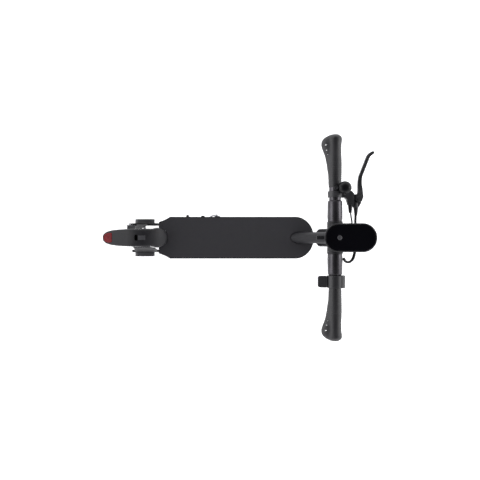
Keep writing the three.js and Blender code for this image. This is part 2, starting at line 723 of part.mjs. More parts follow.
function display() {
  const back = DISPLAY_BACK;
  const front = DISPLAY_FRONT;
  const half = DISPLAY_HALF_WIDTH;
  const plan = (inset) => {
    const shape = new THREE.Shape();
    const h = half - inset;
    const quarter = Math.PI / 2;
    shape.absellipse(front - half + 1, 0, half - 1 - inset, h, -quarter, quarter, false, 0);
    shape.absellipse(back + half - 2, 0, half - 2 - inset, h, quarter, 3 * quarter, false, 0);
    return shape;
  };
  const glassBottom = DISPLAY_TOP - 2;
  const outer = raise(plan(0), DISPLAY_BOTTOM, DISPLAY_TOP - 0.2, 12);
  const well = raise(plan(2.2), DISPLAY_BOTTOM + 2.5, DISPLAY_TOP + 1, 12);
  add(raked, "display_housing", cut(outer, well), BLACK_PLASTIC);
  const hole = rod("z", BUTTON_RADIUS + 0.4, 1000, 1060, BUTTON_X, 0, 20);
  add(raked, "display_glass", cut(raise(plan(2.5), glassBottom, DISPLAY_TOP, 12), hole), GLASS);
  const cap = rod("z", BUTTON_RADIUS, glassBottom - 3, DISPLAY_TOP + 0.4, BUTTON_X, 0, 20);
  add(raked, "power_button", cap, GLASS);
}

function headlight() {
  const lampZ = 962;
  const barrelEnd = 42;
  const body = cut(
    rod("x", 17, 15, barrelEnd, 0, lampZ, 24),
    rod("z", STEM_RADIUS + GAP, 900, 1010, 0, 0, 32),
    rod("z", SOCKET_RADIUS + GAP, 947, 1010, 0, 0, 28),
  );
  add(raked, "headlight_housing", body, BLACK_PLASTIC);
  const lens = cone("x", 15.5, 14, barrelEnd + GAP, barrelEnd + 3.5, 0, lampZ, 24);
  add(raked, "headlight_lens", lens, CLEAR_LENS);
}

// ---------------------------------------------------------------- handlebar controls
// Controls lie level, so they sit in a group at the centre of the bar that isn't raked.
const [BAR_X, BAR_Z] = axisPoint(BAR_HEIGHT);
const controls = new THREE.Group();
controls.position.set(BAR_X, 0, BAR_Z);
scooter.add(controls);

const LEVER_PIVOT = [54.5, 90];
const CABLE_STOP = [49, -9.6]; // where the brake cable enters the lever bracket
const BELL_AT = [18.7, 110.5];

function leverBracket() {
  const plan = outline(
    [11, 106],
    [38, 105],
    [43, 99],
    [43, 80],
    [41, 74],
    [30, 74],
    [27, 86],
    [22, 90.5],
    [11, 90.5],
  );
  const collar = rod("y", 16.2, 90.5, 104, 0, 0, 24);
  const body = raise(plan, -13, 1, 6);
  const underLever = outline(
    [38, 98.5],
    [54.5, 98.5],
    [62.5, 92],
    [61, 78],
    [55, 68],
    [44, 68],
    [38, 78],
  );
  const tongue = raise(underLever, -15.5, -10.3);
  const barrel = rod("y", 5, 68, 79, ...CABLE_STOP, 12);
  const barrelNeck = box(40, 50, 74, 79, -13, -6);
  const room = rod("y", BAR_NECK_RADIUS + GAP, 80, 112, 0, 0, 20);
  const swing = raise(stadium(LEVER_PIVOT, [60, 100], 11.6), -10, 5);
  const bellFoot = [18.5, 103];
  const bellPost = join(
    rod("z", 4, 0, 14.4, ...bellFoot, 12),
    raise(stadium(bellFoot, BELL_AT, 5, 4), 11.4, 14.4),
    rod("z", 1.4, 14, 26, ...BELL_AT, 8),
  );
  const cableRoom = rod("y", 3.3, 60, 90, ...CABLE_STOP, 8);
  const hollow = cut(join(body, collar, tongue, barrelNeck, barrel), room, swing, cableRoom);
  const bolt = join(
    rod("z", 2.5, -11, -0.8, ...LEVER_PIVOT, 16),
    rod("z", 4.6, -1.2, 1.2, ...LEVER_PIVOT, 16),
  );
  add(controls, "lever_bracket", join(hollow, bellPost, bolt), BLACK_PLASTIC);
}

// The blade leaves its pivot, runs beside the grip, then sweeps forward to a rounded tip.
function brakeLever() {
  const blade = new THREE.Shape();
  blade.moveTo(46.5, 86);
  blade.lineTo(50, 81);
  blade.lineTo(61, 82);
  blade.lineTo(64.5, 92);
  blade.quadraticCurveTo(62.5, 112, 61, 120);
  blade.quadraticCurveTo(60.5, 132, 62, 138);
  blade.lineTo(78.5, 180);
  blade.quadraticCurveTo(80.5, 184.5, 86, 187.5);
  blade.quadraticCurveTo(90, 190, 88.5, 193.5);
  blade.quadraticCurveTo(86, 196, 82, 193.5);
  blade.quadraticCurveTo(73.5, 189, 71, 182.5);
  blade.lineTo(53.5, 138);
  blade.quadraticCurveTo(51.5, 128, 51.5, 116);
  blade.lineTo(51.5, 101);
  blade.quadraticCurveTo(46, 96, 46.5, 86);
  const bolthole = rod("z", 2.8, -20, 5, ...LEVER_PIVOT, 16);
  add(controls, "brake_lever", cut(raise(blade, -9.7, -1.5, 6), bolthole), SATIN_ALLOY);
}

function bell() {
  const dome = spun([
    [0, 0],
    [14.8, 0],
    [14.8, 2],
    [13.6, 6.4],
    [10, 10.4],
    [5.2, 12.6],
    [0, 13.2],
  ], 20);
  const bowl = spun([
    [0, -1],
    [12.8, -1],
    [12.8, 2],
    [11, 6],
    [6, 9],
    [0, 10.2],
  ], 12);
  const hollow = cut(dome, bowl).rotateX(Math.PI / 2);
  add(controls, "bell_dome", hollow.translate(...BELL_AT, 16.4), SATIN_ALLOY);
  // The striker turns round the dome's post and its thumb knob stands behind the dome.
  const [x, y] = BELL_AT;
  const [low, high] = [14.8, 15.9];
  const post = rod("z", 4.6, low, high, x, y, 12);
  const arm = raise(stadium(BELL_AT, [x - 17, y], 3, 4), low, high);
  const knob = rod("z", 4.2, low, 20, x - 19.5, y, 16);
  const bore = rod("z", 1.7, 10, 18, x, y, 8);
  add(controls, "bell_striker", cut(join(post, arm, knob), bore), BLACK_PLASTIC);
}

function throttle() {
  const y0 = -112.5;
  const y1 = -85;
  const collar = rod("y", 17.6, y0, y1, 0, 0, 28);
  const front = box(8, 22.7, y0, y1, -12, 9);
  const room = rod("y", BAR_NECK_RADIUS + 2, y0 - 1, y1 + 1, 0, 0, 24);
  add(controls, "throttle_housing", cut(join(collar, front), room), BLACK_PLASTIC);
  const side = new THREE.Shape();
  side.absarc(0, 0, 20.4, Math.PI * 0.9, Math.PI * 1.28, false);
  side.absarc(0, 0, 18, Math.PI * 1.28, Math.PI * 0.9, true);
  const hub = widen(side, y0 + 1.5, y1 - 1.5, 10);
  const wingSide = outline([-19, 4], [-37, 0.5], [-38.6, -2.4], [-36.6, -4.6], [-19, -6]);
  const wing = widen(wingSide, y0 + 0.8, y1 - 0.8);
  const middle = y0 + 13.7;
  const plan = raise(stadium([-19, middle], [-30.6, middle], 13.1, 6), -40, 40);
  const paddle = cut(join(hub, common(wing, plan)), rod("y", 18, y0 - 1, y1 + 1, 0, 0, 28));
  add(controls, "throttle_paddle", paddle, BLACK_PLASTIC);
}

// ---------------------------------------------------------------- cables at the bar
function barCables() {
  const boot = (x, z, y0, y1) => cone("y", 3.1, 5.3, y0, y1, x, z, 12);
  const outerCable = [
    V3(49, 67, -9.6),
    V3(48.8, 58, -9.7),
    V3(48.2, 40, -10),
    V3(47.8, 12, -10),
    V3(47.6, -16, -9.6),
    V3(46, -34, -8.6),
    V3(41.5, -48, -7),
    V3(33, -55, -5),
    V3(24, -53, -3),
    V3(19.4, -46.5, -1.2),
  ];
  const cable = join(cord(outerCable, 2.7, 28), boot(...CABLE_STOP, 50, 67.7));
  add(controls, "brake_cable_bar", cable, RUBBER);
  const bootX = 35.5;
  const wire = [
    V3(bootX, 73, -6),
    V3(bootX, 62, -6),
    V3(37.4, 48, -6.3),
    V3(39.6, 34, -6.5),
    V3(38.5, 20, -5),
    V3(33, 10, -3),
    V3(29, 7.2, -2.4),
    V3(26.8, 6.2, -2.2),
  ];
  add(controls, "sensor_wire", join(cord(wire, 1.7, 20), boot(bootX, -6, 56, 73.7)), RUBBER);
}

// ---------------------------------------------------------------- mudguards
// Five corners of one side of a guard's section, from the free edge up to the crest.
function guardSide(half, drop, thickness) {
  const c = Math.min(7, 0.35 * half);
  const w = half - thickness;
  return [
    [w, -drop],
    [w, -1.3 * c - 0.5 * thickness],
    [w - 0.25 * c, -0.6 * c - 0.75 * thickness],
    [w - c, -0.2 * c - 0.95 * thickness],
    [0.5 * (w - c), -0.05 * c - thickness],
  ];
}

function guardRow(base, normal, half, drop, thickness) {
  const side = guardSide(half, drop, thickness);
  const section = [...side, [0, -thickness], ...side.map(([y, h]) => [-y, h]).reverse()];
  return section.map(([y, h]) => V3(base.x + normal.x * h, y, base.z + normal.z * h));
}

// Stations run round the wheel from one angle to another, then straight on for a tail.
function guardShell({ radius, from, to, steps, tail, tailSteps, half, drop }) {
  const stations = [];
  for (let i = 0; i <= steps; i++) {
    const angle = from + ((to - from) * i) / steps;
    const outward = V3(Math.cos(angle), 0, Math.sin(angle));
    stations.push([outward.clone().multiplyScalar(radius), outward]);
  }
  const [end, normal] = stations[stations.length - 1];
  const heading = V3(-Math.sin(to), 0, Math.cos(to));
  for (let i = 1; i <= tailSteps; i++) {
    const reach = tail * Math.sin((i / tailSteps) * (Math.PI / 2));
    stations.push([end.clone().addScaledVector(heading, reach), normal]);
  }
  const rows = (t) => stations.map(([p, n]) => guardRow(p, n, half(p.x), drop(p.x), t));
  return shell(rows(0), rows(GUARD_WALL));
}

const REAR_GUARD_TO = THREE.MathUtils.degToRad(112);
// Half width of the rear guard, and how far its sides hang, at distances forward of the axle.
const REAR_GUARD_HALF = [
  [-155, 10],
  [-152.5, 13],
  [-149, 18.5],
  [-144, 23],
  [-126, 28.5],
  [-110, 31],
  [-93, 32.5],
  [-66, 34],
  [-30, 35],
  [58, 35.5],
  [73, 40],
  [85, 37],
  [97, 30],
  [103, 23],
  [107, 14],
];
const REAR_GUARD_DROP = [
  [-153, 11],
  [-110, 15],
  [-40, 24],
  [40, 24],
  [90, 17],
  [107, 11],
];
const LAMP_FRONT_X = -510;

// How far down the straight tail, past the end of the arc, a given X lies.
function tailReach(x) {
  const arcEnd = REAR_AXLE_X + REAR_GUARD_RADIUS * Math.cos(REAR_GUARD_TO);
  return (arcEnd - x) / Math.sin(REAR_GUARD_TO);
}

function rearMudguard() {
  const from = THREE.MathUtils.degToRad(37.5);
  const guard = guardShell({
    radius: REAR_GUARD_RADIUS,
    from,
    to: REAR_GUARD_TO,
    steps: 9,
    tail: tailReach(TAIL_X),
    tailSteps: 6,
    half: (x) => along(REAR_GUARD_HALF, x),
    drop: (x) => along(REAR_GUARD_DROP, x),
  });
  const slotX = SLOT_X - REAR_AXLE_X;
  const slot = box(slotX - 6, slotX + 6, -9.5, 9.5, 110, 150);
  const lampRoom = tailPlate(19.2, 0.4, -30, 30);
  add(rearAxle, "rear_mudguard", cut(guard, slot, lampRoom), BLACK_PLASTIC);
  add(rearAxle, "tail_light_lens", tailPlate(18.6, 0, -9, 1.2), RED_LENS);
}

// A D-shaped plate lying on the slope of the tail, its thickness along the tail's normal.
function tailPlate(half, grow, low, high) {
  const shape = new THREE.Shape();
  shape.moveTo(-grow, half - 4);
  shape.quadraticCurveTo(-grow, half, 4 - grow, half);
  shape.lineTo(18, half);
  shape.absellipse(18, 0, 21 + grow, half, Math.PI / 2, -Math.PI / 2, true, 0);
  shape.lineTo(4 - grow, -half);
  shape.quadraticCurveTo(-grow, -half, -grow, 4 - half);
  const plate = raise(shape, low, high, 8);
  plate.rotateZ(Math.PI).translate(-tailReach(LAMP_FRONT_X), 0, REAR_GUARD_RADIUS);
  return plate.rotateY(Math.PI / 2 - REAR_GUARD_TO);
}

function mudguardStays() {
  // Each stay is a bent plate, wider at its foot on the dropout than at its top on the guard.
  const plates = [
    ["left", 1, [-26, 20], [10, 82], [-18, 8]],
    ["right", -1, [-33, 62], [56, 82], [-26, 40]],
  ];
  for (const [which, side, [foot0, foot1], knee, [top0, top1]] of plates) {
    const foot = 16.4;
    const corners = [
      [35.9, 118],
      [38.6, 118],
      [38.6, 97],
      [59.8, foot + 5],
      [59.8, foot],
      [51, foot],
      [51, foot + 3],
      [56.4, foot + 4.4],
      [35.9, 96],
    ];
    const profile = outline(...corners.map(([y, z]) => [side * y, z]));
    const bent = lengthen(profile, foot0, foot1);
    const face = outline(
      [foot0, 10],
      [foot1, 10],
      [foot1, 32],
      knee,
      [top1, 94],
      [top1, 122],
      [top0, 122],
      [top0, 94],
      [foot0, 32],
    );
    add(rearAxle, `mudguard_stay_${which}`, common(bent, widen(face, -70, 70)), BLACK_PAINT);
  }
}

function frontMudguard() {
  const guard = guardShell({
    radius: FRONT_GUARD_RADIUS,
    from: THREE.MathUtils.degToRad(52),
    to: THREE.MathUtils.degToRad(150),
    steps: 9,
    tail: 42,
    tailSteps: 4,
    half: (x) => along([[-130, 28], [-124, 36], [70, 36], [78, 30]], x),
    drop: () => 13,
  });
  // A boss on the crown of the guard carries it under the fork crown.
  const boss = box(-12, 12, -18, 18, 119, CROWN_BOTTOM - GAP);
  boss.rotateY(-STEER_RAKE).translate(STEER_FOOT_X - FRONT_AXLE_X, 0, 0);
  const belowSkin = rod("y", FRONT_GUARD_RADIUS - 1.5, -40, 40, 0, 0, 40);
  add(frontAxle, "front_mudguard", join(guard, cut(boss, belowSkin)), BLACK_PLASTIC);
}

// ---------------------------------------------------------------- rear brake
function rearBrake() {
  const body = box(-62, -30, 28, 49.5, 14, 52);
  const discRoom = rod("y", DISC_RADIUS + 3, 31.5, 38.5, 0, 0, 32);
  const wheelRoom = rod("y", 20, 20, 33, 0, 0);
  const pads = [box(-49, -36, 31, 33.6, 22, 38), box(-49, -36, 36.4, 39, 22, 38)];
  const pivot = [-46, 34];
  const bolt = join(rod("y", 2.5, 49, 54, ...pivot, 16), rod("y", 4.5, 53.4, 56, ...pivot, 16));
  add(rearAxle, "brake_caliper", join(cut(body, discRoom, wheelRoom), ...pads, bolt), SATIN_ALLOY);
  const arm = cut(
    widen(stadium(pivot, [-57, 62], 5.5), 50, 53),
    rod("y", 2.9, 45, 60, ...pivot, 16),
  );
  add(rearAxle, "caliper_arm", arm, STEEL);
  const route = [
    V3(65.2, 57, 35),
    V3(60, 57, 35.6),
    V3(48, 57.2, 46),
    V3(25, 57, 60),
    V3(-5, 56.4, 68),
    V3(-32, 55.6, 68),
    V3(-50, 55.6, 65),
  ];
  add(rearAxle, "brake_cable_rear", cord(route, 2.3, 20), RUBBER);
}

// ---------------------------------------------------------------- kickstand
function kickstand() {
  const { x, y, z } = STAND_PIVOT;
  const bracket = join(
    box(x - 7, x + 14, DECK_HALF_WIDTH + GAP, y - 3, z - 5, z + 14),
    rod("y", 8, DECK_HALF_WIDTH + GAP, y - 3, x, z, 16),
  );
  add(scooter, "kickstand_bracket", bracket, BLACK_PAINT);
  // The leg leaves its hub outside the deck, tucks under it, and its foot comes out again.
  const hub = rod("y", 7, y - 2.7, y + 4, x, z, 16);
  const route = [
    [0, 0.8, 0],
    [-10, 0.8, -1],
    [-20, -2, -7],
    [-32, -9, -15],
    [-50, -13, -17.5],
    [-98, -13, -17.5],
    [-111, -9, -16],
    [-STAND_LENGTH, -3, -14],
  ].map(([dx, dy, dz]) => V3(x + dx, y + dy, z + dz));
  const leg = cord(route, 3.4, 16);
  const end = route[route.length - 1];
  const foot = new THREE.SphereGeometry(6.2, 10, 6).translate(end.x, end.y, end.z);
  add(scooter, "kickstand_leg", join(hub, leg, foot), STEEL);
}

deck();
neck();
headTube();
rearWheel();
rearAxleHardware();
frontWheel();
fork();
foldingJoint();
stem();
handlebar();
add(raked, "grip_left", grip(1), RUBBER);
add(raked, "grip_right", grip(-1), RUBBER);
display();
headlight();
leverBracket();
brakeLever();
bell();
throttle();
barCables();
rearMudguard();
mudguardStays();
frontMudguard();
rearBrake();
kickstand();

export default scooter;
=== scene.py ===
import json
import math
import bmesh
import bpy
from mathutils import Matrix, Vector


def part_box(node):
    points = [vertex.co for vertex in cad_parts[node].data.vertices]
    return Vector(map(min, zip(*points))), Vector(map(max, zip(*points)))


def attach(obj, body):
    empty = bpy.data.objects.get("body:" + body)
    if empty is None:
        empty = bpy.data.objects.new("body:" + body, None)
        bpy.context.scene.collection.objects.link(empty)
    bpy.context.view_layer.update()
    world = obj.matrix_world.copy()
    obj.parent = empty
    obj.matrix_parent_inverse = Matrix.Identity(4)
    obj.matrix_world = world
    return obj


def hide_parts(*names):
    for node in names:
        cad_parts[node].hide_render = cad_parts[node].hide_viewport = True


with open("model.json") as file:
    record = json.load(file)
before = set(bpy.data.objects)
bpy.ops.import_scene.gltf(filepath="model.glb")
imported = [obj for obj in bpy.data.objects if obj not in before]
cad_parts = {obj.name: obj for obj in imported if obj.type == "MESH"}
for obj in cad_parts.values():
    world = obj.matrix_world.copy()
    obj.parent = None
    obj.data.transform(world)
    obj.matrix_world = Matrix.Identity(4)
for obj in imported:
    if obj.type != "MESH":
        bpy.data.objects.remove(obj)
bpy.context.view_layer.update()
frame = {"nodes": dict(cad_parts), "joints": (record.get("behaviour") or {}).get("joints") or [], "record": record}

# ---------------------------------------------------------------- frames and record
# Lengths in this file are in millimetres, and MM turns them into metres.
RECORD = frame["record"]
SLOT_OF = {s["node"]: s["material_slot"] for s in RECORD["subparts"]}
BODY_OF = {n: b for b, nodes in RECORD["behaviour"]["bodies"].items() for n in nodes}
JOINT = {j["name"]: j for j in frame["joints"]}
MM = 0.001


def centre(node):
    low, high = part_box(node)
    return (low + high) / 2


def at(x, y, z):
    return Matrix.Translation((x * MM, y * MM, z * MM))


STEER_AXIS = Vector(JOINT["steer"]["axis"])
LEAN = math.atan2(STEER_AXIS.x, STEER_AXIS.z)
# RAKED leans with the stem, CONTROLS is level at the bar, and AT_BAR leans at the bar.
RAKED = Matrix.Translation(JOINT["steer"]["pos_m"]) @ Matrix.Rotation(LEAN, 4, "Y")
BAR_HEIGHT = 1004
CONTROLS = Matrix.Translation(RAKED @ Vector((0, 0, BAR_HEIGHT * MM)))
AT_BAR = RAKED @ at(0, 0, BAR_HEIGHT)
REAR_AXLE = Matrix.Translation(centre("rear_tyre"))
FRONT_AXLE = Matrix.Translation(centre("front_tyre"))
WORLD = Matrix.Identity(4)
# Stands a lathed shape's Y axis up.
UPRIGHT = Matrix.Rotation(math.pi / 2, 4, "X")
REAR_AXLE_X, AXLE_Z = -397, 108


# ---------------------------------------------------------------- camera, floor and light
CAMERA_HEIGHT = 2.24
LENS, SENSOR, SHIFT_Y = 38.4, 36, -0.0048
FLOOR_HALF = 9
# Each stop of the sky: how high, then how bright.
SKY = ((0.3, 1.0), (0.58, 0.42), (0.85, 0.13), (0.97, 0.02))
SKY_STRENGTH = 2.7
# Name, place, width and length in metres, and watts.
SOFTBOXES = (
    ("softbox_left", (-0.9, 2.1, 2.0), (1.6, 1.2), 9),
    ("softbox_right", (1.3, -1.9, 1.9), (1.6, 1.2), 6),
    ("softbox_rear", (-2.6, 0.1, 2.5), (1.0, 1.4), 13),
    ("softbox_front", (3.0, 0.3, 2.1), (0.9, 1.6), 17),
)


def camera():
    data = bpy.data.cameras.new("camera")
    data.sensor_width = SENSOR
    data.lens = LENS
    data.shift_y = SHIFT_Y
    data.clip_end = 30
    obj = bpy.data.objects.new("camera", data)
    obj.location = (0, 0, CAMERA_HEIGHT)
    bpy.context.scene.collection.objects.link(obj)
    bpy.context.scene.camera = obj


def floor():
    mesh = bpy.data.meshes.new("floor")
    r = FLOOR_HALF
    mesh.from_pydata([(-r, -r, 0), (r, -r, 0), (r, r, 0), (-r, r, 0)], [], [(0, 1, 2, 3)])
    obj = bpy.data.objects.new("floor", mesh)
    bpy.context.scene.collection.objects.link(obj)
    mat = bpy.data.materials.new("floor_paper")
    mat.use_nodes = True
    bsdf = mat.node_tree.nodes["Principled BSDF"]
    bsdf.inputs["Base Color"].default_value = (0.93, 0.93, 0.93, 1)
    bsdf.inputs["Roughness"].default_value = 0.9
    bsdf.inputs["Emission Color"].default_value = (1, 1, 1, 1)
    bsdf.inputs["Emission Strength"].default_value = 0.5
    mesh.materials.append(mat)


def light():
    """A bright band of soft light all round, low down, under a dim ceiling."""
    world = bpy.data.worlds.new("studio")
    bpy.context.scene.world = world
    world.use_nodes = True
    nodes, links = world.node_tree.nodes, world.node_tree.links
    background = nodes["Background"]
    coord = nodes.new("ShaderNodeTexCoord")
    split = nodes.new("ShaderNodeSeparateXYZ")
    ramp = nodes.new("ShaderNodeValToRGB")
    stops = ramp.color_ramp.elements
    for _ in range(len(SKY) - len(stops)):
        stops.new(0.5)
    for stop, (height, grey) in zip(stops, SKY):
        stop.position = height
        stop.color = (grey, grey, grey * 1.03, 1)
    background.inputs["Strength"].default_value = SKY_STRENGTH
    links.new(coord.outputs["Generated"], split.inputs[0])
    links.new(split.outputs["Z"], ramp.inputs[0])
    links.new(ramp.outputs[0], background.inputs["Color"])
    for name, place, size, power in SOFTBOXES:
        data = bpy.data.lights.new(name, "AREA")
        data.shape = "RECTANGLE"
        data.size, data.size_y = size
        data.energy = power
        obj = bpy.data.objects.new(name, data)
        obj.location = place
        obj.rotation_euler = (-Vector(place)).to_track_quat("-Z", "Y").to_euler()
        bpy.context.scene.collection.objects.link(obj)
    bpy.context.scene.view_settings.view_transform = "Standard"


# ---------------------------------------------------------------- materials
def shader(slot, base, rough, metal=0.0, spread=0.25, grain=(), wear=0.0, cloud=30, **sockets):
    """Base colour and roughness drift with a soft cloud, edges wear lighter, and grain is raised."""
    mat = bpy.data.materials.new(slot)
    mat.use_nodes = True
    tree = mat.node_tree
    bsdf = tree.nodes["Principled BSDF"]
    bsdf.inputs["Metallic"].default_value = metal
    for name, value in sockets.items():
        bsdf.inputs[name.replace("_", " ")].default_value = value

    def node(kind, **inputs):
        made = tree.nodes.new(kind)
        for key, value in inputs.items():
            target = made.inputs[key.replace("_", " ")]
            if isinstance(value, bpy.types.NodeSocket):
                tree.links.new(value, target)
            else:
                target.default_value = value
        return made

    place = node("ShaderNodeTexCoord").outputs["Object"]
    drift = node("ShaderNodeTexNoise", Vector=place, Scale=cloud, Detail=5.0, Roughness=0.6)
    ramp = node("ShaderNodeValToRGB", Fac=drift.outputs["Fac"])
    low, high = ramp.color_ramp.elements
    low.position, high.position = 0.3, 0.7
    low.color = [c * (1 - spread) for c in base] + [1]
    high.color = [c * (1 + spread) for c in base] + [1]
    colour = ramp.outputs["Color"]
    if wear:
        edge = node("ShaderNodeNewGeometry").outputs["Pointiness"]
        rub = node("ShaderNodeMapRange", Value=edge, From_Min=0.53, From_Max=0.6, To_Max=wear)
        chips = node("ShaderNodeTexNoise", Vector=place, Scale=260.0, Detail=3.0)
        mask = tree.nodes.new("ShaderNodeMath")
        mask.operation = "MULTIPLY"
        tree.links.new(rub.outputs[0], mask.inputs[0])
        tree.links.new(chips.outputs["Fac"], mask.inputs[1])
        mix = tree.nodes.new("ShaderNodeMix")
        mix.data_type = "RGBA"
        tree.links.new(mask.outputs[0], mix.inputs["Factor"])
        tree.links.new(colour, mix.inputs[6])
        mix.inputs[7].default_value = [min(1, c * 5 + 0.06) for c in base] + [1]
        colour = mix.outputs[2]
    tree.links.new(colour, bsdf.inputs["Base Color"])
    span = node(
        "ShaderNodeMapRange", Value=drift.outputs["Fac"],
        From_Min=0.3, From_Max=0.7, To_Min=rough * 0.88, To_Max=min(1, rough * 1.12),
    )
    tree.links.new(span.outputs[0], bsdf.inputs["Roughness"])
    normal = None
    for kind, scale, depth in grain:
        if kind == "noise":
            height = node("ShaderNodeTexNoise", Vector=place, Scale=scale, Detail=3.0).outputs["Fac"]
        elif kind == "cells":
            height = node("ShaderNodeTexVoronoi", Vector=place, Scale=scale).outputs["Distance"]
        else:
            wave = node("ShaderNodeTexWave", Vector=place, Scale=scale, Distortion=0.4)
            wave.bands_direction = kind
            height = wave.outputs["Fac"]
        bump = node("ShaderNodeBump", Height=height, Strength=1.0, Distance=depth * MM)
        if normal is not None:
            tree.links.new(normal, bump.inputs["Normal"])
        normal = bump.outputs["Normal"]
    if normal is not None:
        tree.links.new(normal, bsdf.inputs["Normal"])
    return mat


PAINT = (0.0085, 0.0083, 0.0098)
LOOKS = {
    "frame_paint": dict(base=PAINT, rough=0.5, grain=[("noise", 900, 0.03)], wear=0.4,
                        Specular_IOR_Level=0.22),
    "bar_alloy": dict(base=(0.046, 0.044, 0.048), rough=0.27, metal=0.85, grain=[("noise", 1500, 0.012)],
                      wear=0.4),
    "black_plastic": dict(base=(0.009, 0.0088, 0.0102), rough=0.42, Specular_IOR_Level=0.42,
                          grain=[("cells", 1300, 0.05), ("noise", 500, 0.03)], wear=0.3),
    "guard_plastic": dict(base=(0.0078, 0.0076, 0.009), rough=0.42, Specular_IOR_Level=0.26,
                          grain=[("noise", 700, 0.03), ("noise", 60, 0.12)], wear=0.3),
    "grip_rubber": dict(base=(0.0075, 0.0072, 0.0084), rough=0.46, Specular_IOR_Level=0.4,
                        grain=[("cells", 900, 0.12)]),
    "mat_rubber": dict(base=(0.0115, 0.011, 0.0136), rough=0.78, Specular_IOR_Level=0.4,
                       grain=[("cells", 800, 0.14), ("noise", 240, 0.1)]),
    "tyre": dict(base=(0.012, 0.012, 0.0125), rough=0.72, grain=[("noise", 900, 0.06)], spread=0.35),
    "cable_rubber": dict(base=(0.004, 0.004, 0.0045), rough=0.4, grain=[("noise", 1200, 0.03)],
                         Specular_IOR_Level=0.25),
    "steel": dict(base=(0.5, 0.5, 0.52), rough=0.32, metal=1.0, grain=[("noise", 1800, 0.01)], spread=0.12),
    "disc_steel": dict(base=(0.46, 0.46, 0.48), rough=0.26, metal=1.0, grain=[("noise", 2500, 0.012)],
                       spread=0.12, Anisotropic=0.6),
    "screen_glass": dict(base=(0.0012, 0.0012, 0.002), rough=0.09, cloud=12, Specular_IOR_Level=0.32),
    "red_lens": dict(base=(0.125, 0.0065, 0.009), rough=0.24, grain=[("X", 150, 0.16), ("Y", 150, 0.16)],
                     Specular_IOR_Level=0.14),
    "clear_lens": dict(base=(0.86, 0.88, 0.9), rough=0.08, grain=[("Y", 160, 0.3), ("Z", 160, 0.3)],
                       spread=0.04, Transmission_Weight=0.85, IOR=1.49),
    "gloss_black": dict(base=(0.004, 0.004, 0.0046), rough=0.2, cloud=18, Specular_IOR_Level=0.14),
    "grey_plastic": dict(base=(0.026, 0.0255, 0.029), rough=0.5, grain=[("cells", 1300, 0.05)], wear=0.3),
    "lever_alloy": dict(base=(0.105, 0.105, 0.11), rough=0.26, metal=0.95, grain=[("noise", 1500, 0.012)],
                        wear=0.3),
    "cell_wrap": dict(base=(0.03, 0.07, 0.13), rough=0.35, grain=[("noise", 90, 0.3)]),
    "hub_alloy": dict(base=(0.05, 0.05, 0.053), rough=0.45, metal=0.7, grain=[("noise", 420, 0.09)],
                      wear=0.6),
}
MATERIALS = {slot: shader(slot, **look) for slot, look in LOOKS.items()}


# ---------------------------------------------------------------- mesh helpers
WELD, FINE_WELD = 0.01, 0.005
FLAT_DEG = 0.8


def along(pairs, x):
    """The value at x on the straight lines between (x, value) pairs."""
    if x <= pairs[0][0]:
        return pairs[0][1]
    for (x0, v0), (x1, v1) in zip(pairs, pairs[1:]):
        if x <= x1:
            return v0 + (v1 - v0) * (x - x0) / (x1 - x0)
    return pairs[-1][1]


def eased(values, passes=3):
    """The same values with their corners rounded off; both ends stay."""
    for _ in range(passes):
        inner = [(a + 2 * b + c) / 4 for a, b, c in zip(values, values[1:], values[2:])]
        values = [values[0], *inner, values[-1]]
    return values


def spline(points, per=6):
    """Points on one smooth curve through the given ones."""
    p = [Vector(q) for q in points]
    p = [2 * p[0] - p[1], *p, 2 * p[-1] - p[-2]]
    out = []
    for a, b, c, d in zip(p, p[1:], p[2:], p[3:]):
        for i in range(per):
            t = i / per
            out.append(
                0.5 * (2 * b + (c - a) * t + (2 * a - 5 * b + 4 * c - d) * t * t
                       + (3 * b - a - 3 * c + d) * t ** 3)
            )
    out.append(p[-2])
    return out


def bow(start, control, end, steps=10):
    """A quadratic curve without its first point."""
    a, b, c = Vector(start), Vector(control), Vector(end)
    ts = [i / steps for i in range(1, steps + 1)]
    return [a * (1 - t) ** 2 + b * 2 * t * (1 - t) + c * t * t for t in ts]


def arc(cx, cy, rx, ry, a0, a1, steps=24):
    """Points on an ellipse round (cx, cy), from a0 to a1 degrees."""
    turn = [math.radians(a0 + (a1 - a0) * i / steps) for i in range(steps + 1)]
    return [Vector((cx + rx * math.cos(a), cy + ry * math.sin(a))) for a in turn]


def stadium(a, b, half):
    """A flat bar with round ends from a to b."""
    angle = math.degrees(math.atan2(b[1] - a[1], b[0] - a[0]))
    far = arc(*b, half, half, angle - 90, angle + 90, 14)
    return far + arc(*a, half, half, angle + 90, angle + 270, 14)


def slab(outline, low, high, axis="z"):
    """A plan outline given thickness along an axis."""
    n = len(outline)
    verts = [(p[0], h, p[1]) if axis == "y" else (p[0], p[1], h) for h in (low, high) for p in outline]
    faces = [tuple(range(n)), tuple(range(n, 2 * n))]
    faces += [(i, (i + 1) % n, n + (i + 1) % n, n + i) for i in range(n)]
    return verts, faces


def rings(loops, closed=False):
    """A skin over loops of equal length, capped at both ends unless it closes on itself."""
    n = len(loops[0])
    verts = [p for loop in loops for p in loop]
    faces = []
    last = len(loops) if closed else len(loops) - 1
    for i in range(last):
        a, b = i * n, ((i + 1) % len(loops)) * n
        faces += [(a + j, a + (j + 1) % n, b + (j + 1) % n, b + j) for j in range(n)]
    if not closed:
        faces += [tuple(range(n)), tuple(range((len(loops) - 1) * n, len(loops) * n))]
    return verts, faces


def lathe(profile, sides, wobble=None):
    """A closed profile of (radius, y) turned round the Y axis; wobble(k, r, y) trims ray k's radius."""
    loops = []
    for k in range(sides):
        a = 2 * math.pi * k / sides
        trim = [wobble(k, r, y) if wobble else r for r, y in profile]
        loops.append([(r * math.cos(a), y, r * math.sin(a)) for r, (_, y) in zip(trim, profile)])
    return rings(loops, closed=True)


